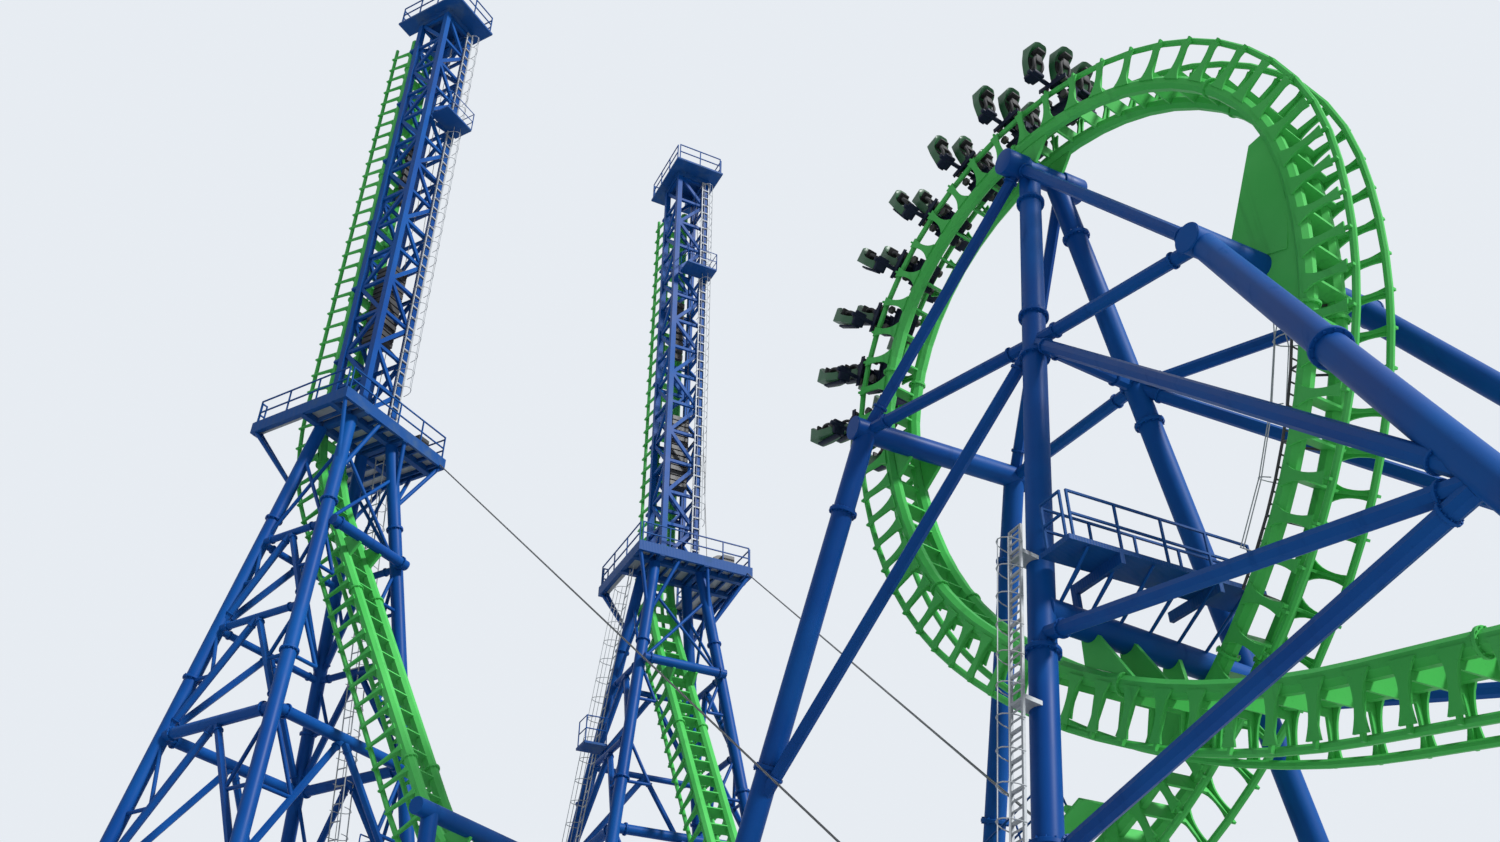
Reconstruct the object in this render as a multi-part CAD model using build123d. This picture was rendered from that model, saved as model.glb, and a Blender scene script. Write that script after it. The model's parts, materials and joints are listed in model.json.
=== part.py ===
from build123d import *
import math
import os

os.makedirs("parts", exist_ok=True)

# Scale
# M is the model's millimetres for one metre of the real ride: the model stands at 1:10.
M = 100.0

# Clearances, in millimetres of the model
SEAT_GAP = 0.3
RUN_GAP = 5.0

# Vertical loop: the line midway between the two spine tubes
LOOP_X = -1.30 * M
LOOP_Z = 23.80 * M
LOOP_R = 6.70 * M
EXIT_Y = 4.40 * M
ENTRY_Y = 6.80 * M
EXIT_LEG_R = 10.80 * M
EXIT_FOOT_R = 19.60 * M
ENTRY_LEG_R = 13.00 * M
ENTRY_FOOT_R = 15.20 * M
LEG_TURN = 45.0
EXIT_SLOPE = 11.5
ENTRY_SLOPE = 15.0
EXIT_RUN = 8.5 * M
ENTRY_RUN = 4.4 * M

# Track up each tower
VALLEY_R = 12.60 * M
CLIMB = 61.0
CLIMB_RUN = 14.0 * M
BEND_R = 11.0 * M
TRACK_TOP = 56.2 * M
STUB_RUN = 5.1 * M

# Track section
SPINE_R = 0.20 * M
SPINE_HALF = 0.52 * M
RAIL_R = 0.085 * M
RAIL_HALF = 0.60 * M
RAIL_OUT = 1.15 * M
TIE_PITCH = 0.86 * M
TIE_THICK = 0.06 * M
TIE_HALF = 0.78 * M
TIE_ARCH_HALF = 0.58 * M
TIE_ARCH_OUT = 0.34 * M
TUBE_SIDES = 8

# Towers
MAST_HALF = 0.95 * M
MAST_COLUMN = 0.26 * M
TRACK_OFF = 1.42 * M
MID_DECK = 31.7 * M
TOP_DECK = 57.2 * M
DECK_THICK = 0.12 * M
FRAME_DEEP = 0.32 * M
RAILING_HIGH = 1.15 * M
MAST_PANELS = 14
STAND_OFFS = 6
STAND_OFF_PITCH = 4.0 * M
LATTICE_BAR = 0.15 * M
LATTICE_THICK = 0.12 * M
LEG_R = 0.25 * M
LEG_TOP_E = 0.75 * M
LEG_TOP_W = 1.10 * M
LEG_FOOT_E = 4.90 * M
LEG_FOOT_W = 5.60 * M
LEG_TOP_Z = 31.6 * M
TOWER_BRACE_R = 0.13 * M
LEVELS = [7.0 * M, 13.0 * M, 18.3 * M, 22.3 * M, 25.9 * M]
SADDLE_LEVEL = 2
TOWER_A_X = -26.2 * M
TOWER_A_Y = -8.8 * M
TOWER_A_YAW = 34.0

# Mid platform edges from the tower's centre, along and across the track's way out
BENT_BEAM_R = 0.25 * M
BENT_TRACK_Z = 13.4 * M
BEAM_STAND = 0.45 * M
DECK_E = (-3.45 * M, 1.55 * M)
DECK_W = (-2.25 * M, 3.45 * M)
TOP_E = (-2.0 * M, 1.8 * M)
TOP_W = (-1.4 * M, 1.45 * M)
TRAIN_HALF = 1.70 * M

# Loop supports
COLUMN_R = 0.30 * M
BEAM_R = 0.33 * M
TRESTLE_R = 0.30 * M
BENT_R = 0.34 * M
BRACE_R = 0.17 * M
PLATE = 1.1 * M
PLATE_THICK = 0.10 * M


# Small helpers

def v(x, y, z):
    return Vector(x, y, z)


class Tube:
    """A straight round or few-sided member between two points."""

    def __init__(self, start, end, radius, sides=0):
        self.start = start
        self.end = end
        self.radius = radius
        self.sides = sides
        self.way = (end - start).normalized()
        self.length = (end - start).length

    def make(self, grow=0.0):
        plane = Plane(origin=self.start, z_dir=self.way)
        if self.sides and not grow:
            profile = plane * RegularPolygon(self.radius, self.sides)
            return extrude(profile, self.length).solid()
        return Solid.make_cylinder(self.radius + grow, self.length, plane)

    def at(self, z):
        share = (z - self.start.Z) / (self.end.Z - self.start.Z)
        return self.start + (self.end - self.start) * share


def axis_gap(one, two):
    """Shortest distance between the axes of two members."""
    u, w = one.way, two.way
    between = one.start - two.start
    b = u.dot(w)
    d = u.dot(between)
    e = w.dot(between)
    spread = 1 - b * b
    s = (b * e - d) / spread if spread > 1e-6 else 0.0
    s = min(max(s, 0.0), one.length)
    t = min(max(b * s + e, 0.0), two.length)
    s = min(max(b * t - d, 0.0), one.length)
    return (one.start + u * s - two.start - w * t).length


def fitted(member, hosts):
    """The member cut back to stand a seat gap off every member it runs into."""
    solid = member.make()
    whole = solid.volume
    for host in hosts:
        if axis_gap(member, host) < member.radius + host.radius + SEAT_GAP:
            solid = solid - host.make(SEAT_GAP)
    kept = []
    for piece in solid.solids():
        if piece.volume > 0.05 * whole:
            kept.append(piece)
    return kept


class Frame:
    """Members added by rank: each later one stops at the ones before it."""

    def __init__(self):
        self.members = []

    def add(self, member):
        pieces = fitted(member, self.members)
        self.members.append(member)
        return pieces


def block(low, high):
    size = high - low
    return Pos(*((low + high) * 0.5)) * Box(size.X, size.Y, size.Z)


def foot_plate(x, y, size=PLATE):
    return block(v(x - size / 2, y - size / 2, 0), v(x + size / 2, y + size / 2, PLATE_THICK))


def save(name, solids, place=None):
    shapes = []
    for item in solids:
        for solid in item.solids():
            shapes.append(place * solid if place else solid)
    export_step(Compound(shapes), f"parts/{name}.step", write_pcurves=False)


# The track's line: stations with a place, a way forward, a way across and a way out

class Station:
    """A place on the track's centre line, with its axes."""

    def __init__(self, place, along, across):
        self.place = place
        self.along = along.normalized()
        self.out = across.cross(self.along).normalized()
        self.across = self.along.cross(self.out)

    def point(self, across, out):
        return self.place + self.across * across + self.out * out

    def plane(self, shift=0.0):
        return Plane(origin=self.place + self.along * shift, x_dir=self.across, z_dir=self.along * -1)


def arc_stations(start, heading, radius, turn, across, pitch=TIE_PITCH):
    """Stations along an arc in an upright plane: heading and turn are degrees, a positive turn climbs."""
    flat = v(across.Y, -across.X, 0)
    length = radius * math.radians(abs(turn))
    steps = max(1, round(length / pitch))
    sign = 1 if turn > 0 else -1

    def tangent(angle):
        a = math.radians(angle)
        return flat * math.cos(a) + v(0, 0, math.sin(a))

    def inward(angle):
        a = math.radians(angle)
        return (flat * -math.sin(a) + v(0, 0, math.cos(a))) * sign

    centre = start + inward(heading) * radius
    stations = []
    for i in range(steps + 1):
        angle = heading + turn * i / steps
        stations.append((centre - inward(angle) * radius, tangent(angle)))
    return stations


def run_stations(start, heading, length, across, pitch=TIE_PITCH):
    """Stations along a straight run."""
    flat = v(across.Y, -across.X, 0)
    a = math.radians(heading)
    way = flat * math.cos(a) + v(0, 0, math.sin(a))
    steps = max(1, round(length / pitch))
    return [(start + way * (length * i / steps), way) for i in range(steps + 1)]


def chain(pieces):
    """Joins lists of stations whose ends meet."""
    line = list(pieces[0])
    for piece in pieces[1:]:
        line += piece[1:]
    return line


ACROSS = v(0, 1, 0)
LOOP_Y = (EXIT_Y + ENTRY_Y) / 2
LOOP_YAW = math.degrees(math.asin((ENTRY_Y - EXIT_Y) / 2 / LOOP_R))
LOOP_ACROSS = v(-math.sin(math.radians(LOOP_YAW)), math.cos(math.radians(LOOP_YAW)), 0)
LOOP_CENTRE = v(LOOP_X, LOOP_Y, LOOP_Z)


def loop_point(angle, radius=LOOP_R):
    """A point of the top arc's plane, by its angle round the hinge centre from the entry side."""
    a = math.radians(angle)
    flat = v(LOOP_ACROSS.Y, -LOOP_ACROSS.X, 0)
    return LOOP_CENTRE + flat * (radius * math.cos(a)) + v(0, 0, radius * math.sin(a))


def eased(line, from_across, to_across):
    """Stations whose way across turns smoothly from one direction to the other."""
    stations = []
    count = len(line) - 1
    for i, (place, way) in enumerate(line):
        share = min(1.0, 1.6 * i / count)
        share = share * share * (3 - 2 * share)
        across = from_across * (1 - share) + to_across * share
        stations.append(Station(place, way, across))
    return stations


def top_arc():
    start = loop_point(0)
    line = arc_stations(start, 90, LOOP_R, 180, LOOP_ACROSS)
    return [Station(place, way, LOOP_ACROSS) for place, way in line]


def exit_line():
    """From the top arc's far side down to the end of the run out of the loop."""
    start = loop_point(180)
    leg = arc_stations(start, 270, EXIT_LEG_R, LEG_TURN, ACROSS)
    foot = arc_stations(leg[-1][0], 270 + LEG_TURN, EXIT_FOOT_R, 90 - LEG_TURN - EXIT_SLOPE, ACROSS)
    run = run_stations(foot[-1][0], -EXIT_SLOPE, EXIT_RUN, ACROSS)
    return eased(chain([leg, foot, run]), LOOP_ACROSS, ACROSS)


def flipped(line):
    """The same line taken the other way."""
    return [(place, way * -1) for place, way in reversed(line)]


def entry_line():
    """From the top of the second tower down through the valley and up into the loop."""
    end = loop_point(0)
    back = v(0, -1, 0)
    leg = arc_stations(end, 270, ENTRY_LEG_R, LEG_TURN, back)
    foot = arc_stations(leg[-1][0], 270 + LEG_TURN, ENTRY_FOOT_R, 90 - LEG_TURN - ENTRY_SLOPE, back)
    run = run_stations(foot[-1][0], -ENTRY_SLOPE, ENTRY_RUN, back)
    valley = arc_stations(run[-1][0], -ENTRY_SLOPE, VALLEY_R, ENTRY_SLOPE + CLIMB, back)
    climb = run_stations(valley[-1][0], CLIMB, CLIMB_RUN, back)
    bend = arc_stations(climb[-1][0], CLIMB, BEND_R, 90 - CLIMB, back)
    rise = run_stations(bend[-1][0], 90, TRACK_TOP - bend[-1][0].Z, back)
    loop_part = eased(flipped_chain([leg, foot, run]), ACROSS, ACROSS)
    tower_part = [Station(p, w, ACROSS) for p, w in flipped_chain([valley, climb, bend, rise])]
    turned = []
    count = len(loop_part) - 1
    for i, station in enumerate(loop_part):
        share = max(0.0, 1 - 1.6 * (count - i) / count)
        share = share * share * (3 - 2 * share)
        turned.append(Station(station.place, station.along, ACROSS * (1 - share) + LOOP_ACROSS * share))
    return tower_part, turned


def flipped_chain(pieces):
    return flipped(chain(pieces))


TOWER_B_LINE, LOOP_ENTRY_LINE = entry_line()
LOOP_EXIT_LINE = exit_line()
LOOP_TOP_LINE = top_arc()
TOWER_B_X = TOWER_B_LINE[0].place.X + TRACK_OFF
TOWER_B_Y = ENTRY_Y


def tower_a_line():
    """The first tower's own track, in the tower's frame, from its top to the end of the level stub."""
    back = v(0, -1, 0)
    stub = run_stations(v(0, 0, 0), 0, STUB_RUN, back)
    valley = arc_stations(stub[-1][0], 0, VALLEY_R, CLIMB, back)
    climb = run_stations(valley[-1][0], CLIMB, CLIMB_RUN, back)
    bend = arc_stations(climb[-1][0], CLIMB, BEND_R, 90 - CLIMB, back)
    low = TOWER_B_LINE[-1].place.Z - VALLEY_R * (1 - math.cos(math.radians(ENTRY_SLOPE)))
    rise = run_stations(bend[-1][0], 90, TRACK_TOP - low - bend[-1][0].Z, back)
    line = flipped_chain([stub, valley, climb, bend, rise])
    shift = v(-TRACK_OFF, 0, low) - v(line[0][0].X, 0, 0)
    return [Station(place + shift, way, ACROSS) for place, way in line]


# Track pieces

def ring(radius):
    """A closed outline of few sides, as a wire."""
    corners = []
    for i in range(TUBE_SIDES):
        angle = 2 * math.pi * (i + 0.5) / TUBE_SIDES
        corners.append(v(radius * math.cos(angle), radius * math.sin(angle), 0))
    return Wire.make_polygon(corners, close=True)


def track_tube(stations, across, out, radius):
    """A tube of few sides lofted through the stations."""
    outline = ring(radius)
    sections = []
    for station in stations:
        plane = Plane(origin=station.point(across, out), x_dir=station.across, z_dir=station.along)
        sections.append(plane.location * outline)
    return Solid.make_loft(sections, True)


def spine_tubes(stations):
    return [track_tube(stations, side * SPINE_HALF, 0, SPINE_R) for side in (-1, 1)]


def rail_tubes(stations):
    return [track_tube(stations, side * RAIL_HALF, RAIL_OUT, RAIL_R) for side in (-1, 1)]


def tie_plate():
    """Arched plate: a web between the spine tubes and two legs that flare out to the rails."""
    inner = RAIL_HALF + RAIL_R * math.cos(math.pi / TUBE_SIDES) + SEAT_GAP
    tip = RAIL_OUT + 0.6 * RAIL_R
    right = [
        (SPINE_HALF, -0.5 * SPINE_R), (SPINE_HALF + 0.9 * SPINE_R, 0.4 * SPINE_R),
        (TIE_HALF, RAIL_OUT - 2.5 * RAIL_R), (TIE_HALF, tip), (inner, tip),
        (inner, RAIL_OUT - 2.0 * RAIL_R), (TIE_ARCH_HALF, TIE_ARCH_OUT)]
    left = [(-x, y) for x, y in reversed(right)]
    outline = Polygon(*(right + left), align=None)
    for side in (-1, 1):
        outline -= Pos(side * SPINE_HALF, 0) * round_hole(SPINE_R)
    return extrude(outline, TIE_THICK / 2, both=True)


def round_hole(radius):
    """The outline that clears a track tube by the seat gap."""
    grown = radius + SEAT_GAP / math.cos(math.pi / TUBE_SIDES)
    return RegularPolygon(grown, TUBE_SIDES, rotation=180 / TUBE_SIDES)


TIE = tie_plate()


def ties(stations):
    """One tie at each station but the ends."""
    return [station.plane().location * TIE for station in stations[1:-1]]


def track(name, stations):
    save(name + "_spine", spine_tubes(stations))
    save(name + "_rails", rail_tubes(stations))
    save(name + "_ties", ties(stations))


LOOP_LINE = LOOP_ENTRY_LINE[:-1] + LOOP_TOP_LINE + LOOP_EXIT_LINE[1:]


# Towers, in the tower's own frame: X along the track's way out, Y across it, Z up

def mast_columns():
    """Four square corner columns between the two decks."""
    columns = []
    low = MID_DECK + SEAT_GAP
    high = TOP_DECK - DECK_THICK - FRAME_DEEP - SEAT_GAP
    centre = MAST_HALF - MAST_COLUMN / 2
    for e in (-1, 1):
        for w in (-1, 1):
            spot = v(e * centre, w * centre, (low + high) / 2)
            columns.append(Pos(*spot) * Box(MAST_COLUMN, MAST_COLUMN, high - low))
    return columns + stand_offs()


def stand_offs():
    """Short brackets from the mast's back columns to the track's spine tubes."""
    brackets_made = []
    reach = TRACK_OFF - SPINE_R * math.cos(math.pi / TUBE_SIDES) - SEAT_GAP
    for i in range(STAND_OFFS):
        z = MID_DECK + 3.2 * M + i * STAND_OFF_PITCH
        for side in (-1, 1):
            low_w, high_w = sorted((side * (SPINE_HALF - 0.05 * M), side * MAST_HALF))
            brackets_made.append(block(v(-reach, low_w, z), v(-MAST_HALF - SEAT_GAP, high_w, z + 0.12 * M)))
    return brackets_made


def lattice_face(width, height, panels):
    """A flat side of the mast: rungs and zigzag bars left between triangular cut-outs."""
    step = height / panels
    half = width / 2
    bar = LATTICE_BAR
    face = Rectangle(width, height, align=(Align.CENTER, Align.MIN))
    slant = bar / 2 * math.hypot(step, width) / width
    for i in range(panels):
        low = i * step + bar / 2
        high = (i + 1) * step - bar / 2
        left = -half if i % 2 == 0 else half
        right = -left
        upper = Polygon((left, low + slant), (left, high), (right - math.copysign(slant, right), high), align=None)
        lower = Polygon((right, high - slant), (right, low), (left - math.copysign(slant, left), low), align=None)
        face -= [upper, lower]
    return face


def mast_lattice():
    """The four braced sides between the corner columns."""
    low = MID_DECK + 2 * SEAT_GAP
    high = TOP_DECK - DECK_THICK - FRAME_DEEP - 2 * SEAT_GAP
    width = 2 * (MAST_HALF - MAST_COLUMN) - 2 * SEAT_GAP
    face = extrude(lattice_face(width, high - low, MAST_PANELS), LATTICE_THICK / 2, both=True)
    upright = Pos(0, 0, low) * Rot(X=90) * face
    reach = MAST_HALF - MAST_COLUMN / 2
    sides = []
    for turn in range(4):
        sides.append(Rot(Z=90 * turn) * Pos(0, -reach, 0) * upright)
    return sides


def leg_tubes():
    legs = []
    for e in (-1, 1):
        for w in (-1, 1):
            foot = v(e * LEG_FOOT_E, w * LEG_FOOT_W, PLATE_THICK + SEAT_GAP)
            top = v(e * LEG_TOP_E, w * LEG_TOP_W, LEG_TOP_Z)
            legs.append(Tube(foot, top, LEG_R))
    return legs


def leg_solids(legs):
    """The legs with their bolted flange rings, each on a foot plate."""
    solids = []
    for leg in legs:
        body = leg.make()
        floor = block(v(-10 * M, -10 * M, 0), v(10 * M, 10 * M, PLATE_THICK + SEAT_GAP))
        body = body - floor
        under = MID_DECK - DECK_THICK - FRAME_DEEP - SEAT_GAP
        roof = block(v(-10 * M, -10 * M, under), v(10 * M, 10 * M, LEG_TOP_Z + 2 * LEG_R))
        body = body - roof
        solids.append(body)
        solids.append(foot_plate(leg.start.X, leg.start.Y))
    return solids


def clear_of_track(member, line):
    """True where a member stays out of the space that the track and its cars need."""
    for station in line:
        middle = station.point(0, RAIL_OUT / 2)
        along = min(max((middle - member.start).dot(member.way), 0), member.length)
        if (member.start + member.way * along - middle).length < 1.35 * M:
            return False
    return True


def leg_bracing(legs, line):
    """Rings of horizontals between the legs and K braces in each storey, open where the track runs through."""
    frame = Frame()
    frame.members = list(legs)
    solids = []
    members = []
    sides = [(0, 1), (1, 3), (3, 2), (2, 0)]
    base = 0.9 * M
    heights = [base] + LEVELS
    for i, height in enumerate(LEVELS):
        for a, b in sides:
            radius = TOWER_BRACE_R * (1.5 if i == SADDLE_LEVEL else 1.0)
            members.append(Tube(legs[a].at(height), legs[b].at(height), radius, 0))
    for i in range(len(heights) - 1):
        for a, b in sides:
            low_a = legs[a].at(heights[i])
            low_b = legs[b].at(heights[i])
            middle = (legs[a].at(heights[i + 1]) + legs[b].at(heights[i + 1])) * 0.5
            members.append(Tube(low_a, middle, TOWER_BRACE_R, 6))
            members.append(Tube(low_b, middle, TOWER_BRACE_R, 6))
    beam, plates = saddle_beam(legs, line, LEVELS[-1])
    for member in members:
        if clear_of_track(member, line):
            solids += frame.add(member)
    return solids + frame.add(beam), plates


def saddle_beam(legs, line, level):
    """A cross tube between the side faces, on the inner side of the track, with plates to its spine."""
    stand = SPINE_R + 1.5 * TOWER_BRACE_R + BEAM_STAND
    station = min(line[2:-2], key=lambda s: abs(s.point(0, -stand).Z - level))
    e = station.point(0, -stand).X
    wide = abs(legs[0].at(level).Y)
    beam = Tube(v(e, -wide, level), v(e, wide, level), 1.5 * TOWER_BRACE_R)
    plates = [p - beam.make(SEAT_GAP) for p in web_plates(near_stations(line, station), station, v(e, 0, level), 0.5 * M)]
    return beam, plates


def deck(edges_e, edges_w, top, slot_w, slot_e):
    """A deck plate on edge beams, with a bay left open for the track and the train."""
    low = v(edges_e[0], edges_w[0], top - DECK_THICK)
    high = v(edges_e[1], edges_w[1], top)
    plate = block(low, high)
    plate -= block(v(edges_e[0] - M, -slot_w, low.Z - M), v(slot_e, slot_w, top + M))
    return plate


def mid_platform():
    plate = deck(DECK_E, DECK_W, MID_DECK, TRAIN_HALF, -MAST_HALF - 0.10 * M)
    beams = []
    z_high = MID_DECK - DECK_THICK
    z_low = z_high - FRAME_DEEP
    for w in (-LEG_TOP_W, LEG_TOP_W):
        beams.append(block(v(-MAST_HALF, w - 0.12 * M, z_low), v(DECK_E[1], w + 0.12 * M, z_high)))
    for e in (-LEG_TOP_E, LEG_TOP_E):
        beams.append(block(v(e - 0.12 * M, DECK_W[0], z_low), v(e + 0.12 * M, DECK_W[1], z_high)))
    for beam in beams:
        plate = plate + beam
    return [plate]


def top_platform():
    plate = deck(TOP_E, TOP_W, TOP_DECK, 0.55 * M, -MAST_HALF - 0.10 * M)
    ring_high = TOP_DECK - DECK_THICK
    ring_beam = block(v(-MAST_HALF, -MAST_HALF, ring_high - FRAME_DEEP), v(MAST_HALF, MAST_HALF, ring_high))
    ring_beam -= block(v(-0.6 * M, -0.6 * M, ring_high - M), v(0.6 * M, 0.6 * M, ring_high))
    return [plate + ring_beam]


def rail_panel(start, end, bays):
    """A railing panel between two floor points: posts with a top rail and a knee rail."""
    length = (end - start).length
    thick = 0.05 * M
    panel = Rectangle(length, RAILING_HIGH, align=(Align.MIN, Align.MIN))
    bay = (length - thick) / bays
    holes = []
    for i in range(bays):
        for level in range(2):
            x = thick + i * bay
            y = level * (RAILING_HIGH - thick) / 2 + (0 if level == 0 else thick)
            tall = (RAILING_HIGH - thick) / 2 - (0 if level == 0 else thick)
            holes.append(Pos(x, y) * Rectangle(bay - thick, tall, align=(Align.MIN, Align.MIN)))
    panel -= holes
    plane = Plane(origin=start, x_dir=end - start, z_dir=(end - start).cross(v(0, 0, 1)))
    return extrude(plane * panel, thick / 2, both=True)


def railing(corners, top, closed=False):
    panels = []
    inset = 0.08 * M
    pairs = list(zip(corners[:-1], corners[1:]))
    for a, b in pairs:
        start = v(a[0], a[1], top + SEAT_GAP)
        end = v(b[0], b[1], top + SEAT_GAP)
        way = (end - start).normalized()
        bays = max(1, round((end - start).length / (1.4 * M)))
        panels.append(rail_panel(start + way * inset, end - way * inset, bays))
    return panels


def mid_railing():
    inset = 0.06 * M
    e0, e1 = DECK_E[0] + inset, DECK_E[1] - inset
    w0, w1 = DECK_W[0] + inset, DECK_W[1] - inset
    slot = TRAIN_HALF + inset
    back = -MAST_HALF - 0.10 * M
    near = [(e0, -slot), (e0, w0), (e1, w0), (e1, w1), (e0, w1), (e0, slot), (back, slot)]
    return railing(near, MID_DECK)


def top_railing():
    inset = 0.06 * M
    e0, e1 = TOP_E[0] + inset, TOP_E[1] - inset
    w0, w1 = TOP_W[0] + inset, TOP_W[1] - inset
    return railing([(e0, -0.65 * M), (e0, w0), (e1, w0), (e1, w1), (e0, w1), (e0, 0.65 * M)], TOP_DECK)


def ladder(start, height, facing):
    """Two stringers with rungs, standing up from a point."""
    half = 0.22 * M
    thick = 0.06 * M
    panel = Rectangle(2 * half, height, align=(Align.CENTER, Align.MIN))
    rungs = round(height / (0.60 * M))
    step = height / rungs
    holes = []
    for i in range(rungs):
        holes.append(Pos(0, i * step + thick / 2) * Rectangle(
            2 * (half - thick), step - thick, align=(Align.CENTER, Align.MIN)))
    panel -= holes
    plane = Plane(origin=start, x_dir=v(0, 0, 1).cross(facing), z_dir=facing)
    return extrude(plane * panel, thick / 2, both=True)


def tower_ladder():
    out = v(1, 0, 0)
    spot = v(MAST_HALF + 0.03 * M + SEAT_GAP, MAST_HALF - 0.2 * M, MID_DECK + SEAT_GAP)
    height = TOP_DECK - DECK_THICK - FRAME_DEEP - MID_DECK - 2 * SEAT_GAP
    return [ladder(spot, height, out)]


def winch():
    """Drum on two cheek plates over a bed frame, on the wide side of the deck."""
    w = DECK_W[1] - 1.1 * M
    e = -0.2 * M
    bed = block(v(e - 0.8 * M, w - 0.5 * M, MID_DECK + SEAT_GAP), v(e + 0.8 * M, w + 0.5 * M, MID_DECK + 0.15 * M))
    drum_z = MID_DECK + 0.65 * M
    drum = Solid.make_cylinder(0.42 * M, 1.2 * M, Plane(origin=v(e - 0.6 * M, w, drum_z), z_dir=v(1, 0, 0)))
    solid = bed + drum
    for side in (-1, 1):
        x = e + side * 0.66 * M
        cheek = block(v(x - 0.06 * M, w - 0.4 * M, MID_DECK + 0.10 * M), v(x + 0.06 * M, w + 0.4 * M, drum_z + 0.2 * M))
        solid = solid + cheek
    return [solid]


def bent(spot, beam_z, half_wide):
    """T-shaped support: a post under a round-ended cross tube that carries the track."""
    beam = Tube(v(spot.X, spot.Y - half_wide, beam_z), v(spot.X, spot.Y + half_wide, beam_z), BENT_BEAM_R)
    frame = Frame()
    solids = frame.add(beam)
    post_y = spot.Y - half_wide + 0.6 * M
    solids += frame.add(Tube(v(spot.X, post_y, PLATE_THICK + SEAT_GAP), v(spot.X, post_y, beam_z), 0.24 * M))
    solids.append(foot_plate(spot.X, post_y))
    return solids


def track_bent(line, station):
    """A T-shaped support on the inner side of the track, and the plates that join it to the spine."""
    stand = SPINE_R + BENT_BEAM_R + BEAM_STAND
    spot = station.point(0, -stand)
    half_wide = TRAIN_HALF + 1.1 * M
    posts = bent(v(spot.X, station.place.Y, 0), spot.Z, half_wide)
    beam = Tube(v(spot.X, station.place.Y - half_wide, spot.Z), v(spot.X, station.place.Y + half_wide, spot.Z), BENT_BEAM_R)
    plates = []
    for plate in web_plates(near_stations(line, station), station, spot, 0.6 * M):
        plates.append(plate - beam.make(SEAT_GAP))
    return spot.Z, posts, plates


def tower(name, place, line):
    legs = leg_tubes()
    save(name + "_mast_columns", mast_columns(), place)
    save(name + "_mast_lattice", mast_lattice(), place)
    save(name + "_legs", leg_solids(legs), place)
    bracing, plates = leg_bracing(legs, line)
    save(name + "_leg_bracing", bracing, place)
    station = station_at(line[-30:], "Z", BENT_TRACK_Z)
    beam_z, posts, more = track_bent(line, station)
    save(name + "_base_bent", posts, place)
    save(name + "_saddles", plates + more, place)
    save(name + "_mid_platform", mid_platform(), place)
    save(name + "_mid_railing", mid_railing(), place)
    save(name + "_top_platform", top_platform(), place)
    save(name + "_top_railing", top_railing(), place)
    save(name + "_ladder", tower_ladder(), place)
    save(name + "_winch", winch(), place)
    turned = []
    for station in line:
        turned.append(Station(moved(place, station.place), swung(place, station.along), swung(place, station.across)))
    track(name + "_track", turned)


def moved(place, point):
    return (place * Pos(point.X, point.Y, point.Z)).position


def swung(place, way):
    return moved(place, way) - moved(place, v(0, 0, 0))


TOWER_A_PLACE = Pos(TOWER_A_X, TOWER_A_Y, 0) * Rot(Z=TOWER_A_YAW)
TOWER_B_PLACE = Pos(TOWER_B_X, TOWER_B_Y, 0)
UNSHIFT = v(-TOWER_B_X, -TOWER_B_Y, 0)

# Loop supports

APEX_HALF = 0.75 * M
APEX = v(-1.45 * M, 5.5 * M, LOOP_Z + LOOP_R - SPINE_R - BEAM_R - BEAM_STAND)
NEAR_FOOT = v(0, 0, PLATE_THICK + SEAT_GAP)
FAR_FOOT = v(-1.2 * M, 11.6 * M, PLATE_THICK + SEAT_GAP)
TRESTLE_Z = 22.9 * M
TRESTLE_NEAR_Y = 2.5 * M
TRESTLE_FAR_Y = 7.6 * M
TRESTLE_FOOT_NEAR = v(-13.8 * M, -1.8 * M, PLATE_THICK + SEAT_GAP)
TRESTLE_FOOT_FAR = v(-15.1 * M, 8.7 * M, PLATE_THICK + SEAT_GAP)
BENT_Z = 21.6 * M
BENT_NEAR_Y = 4.4 * M
BENT_FAR_Y = 9.2 * M
BENT_FOOT_NEAR = v(15.8 * M, -2.3 * M, PLATE_THICK + SEAT_GAP)
BENT_FOOT_FAR = v(15.8 * M, 15.9 * M, PLATE_THICK + SEAT_GAP)
BEAM_OVERHANG = 0.45 * M
CROSS_Z = 14.35 * M
BRACE_UPPER_Z = 22.4 * M
KNEE_Z = 11.0 * M
EXIT_BENT_X = 12.2 * M


def station_at(stations, key, value):
    """The station whose place is nearest to a value of X or Z."""
    return min(stations, key=lambda s: abs(getattr(s.place, key) - value))


TRESTLE_STATION = station_at(LOOP_EXIT_LINE[:4], "Z", TRESTLE_Z)
BENT_STATION = station_at(LOOP_ENTRY_LINE[-5:], "Z", BENT_Z)
TRESTLE_X = TRESTLE_STATION.place.X + SPINE_R + BEAM_R + BEAM_STAND
BENT_X = BENT_STATION.place.X - SPINE_R - BEAM_R - BEAM_STAND


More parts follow.
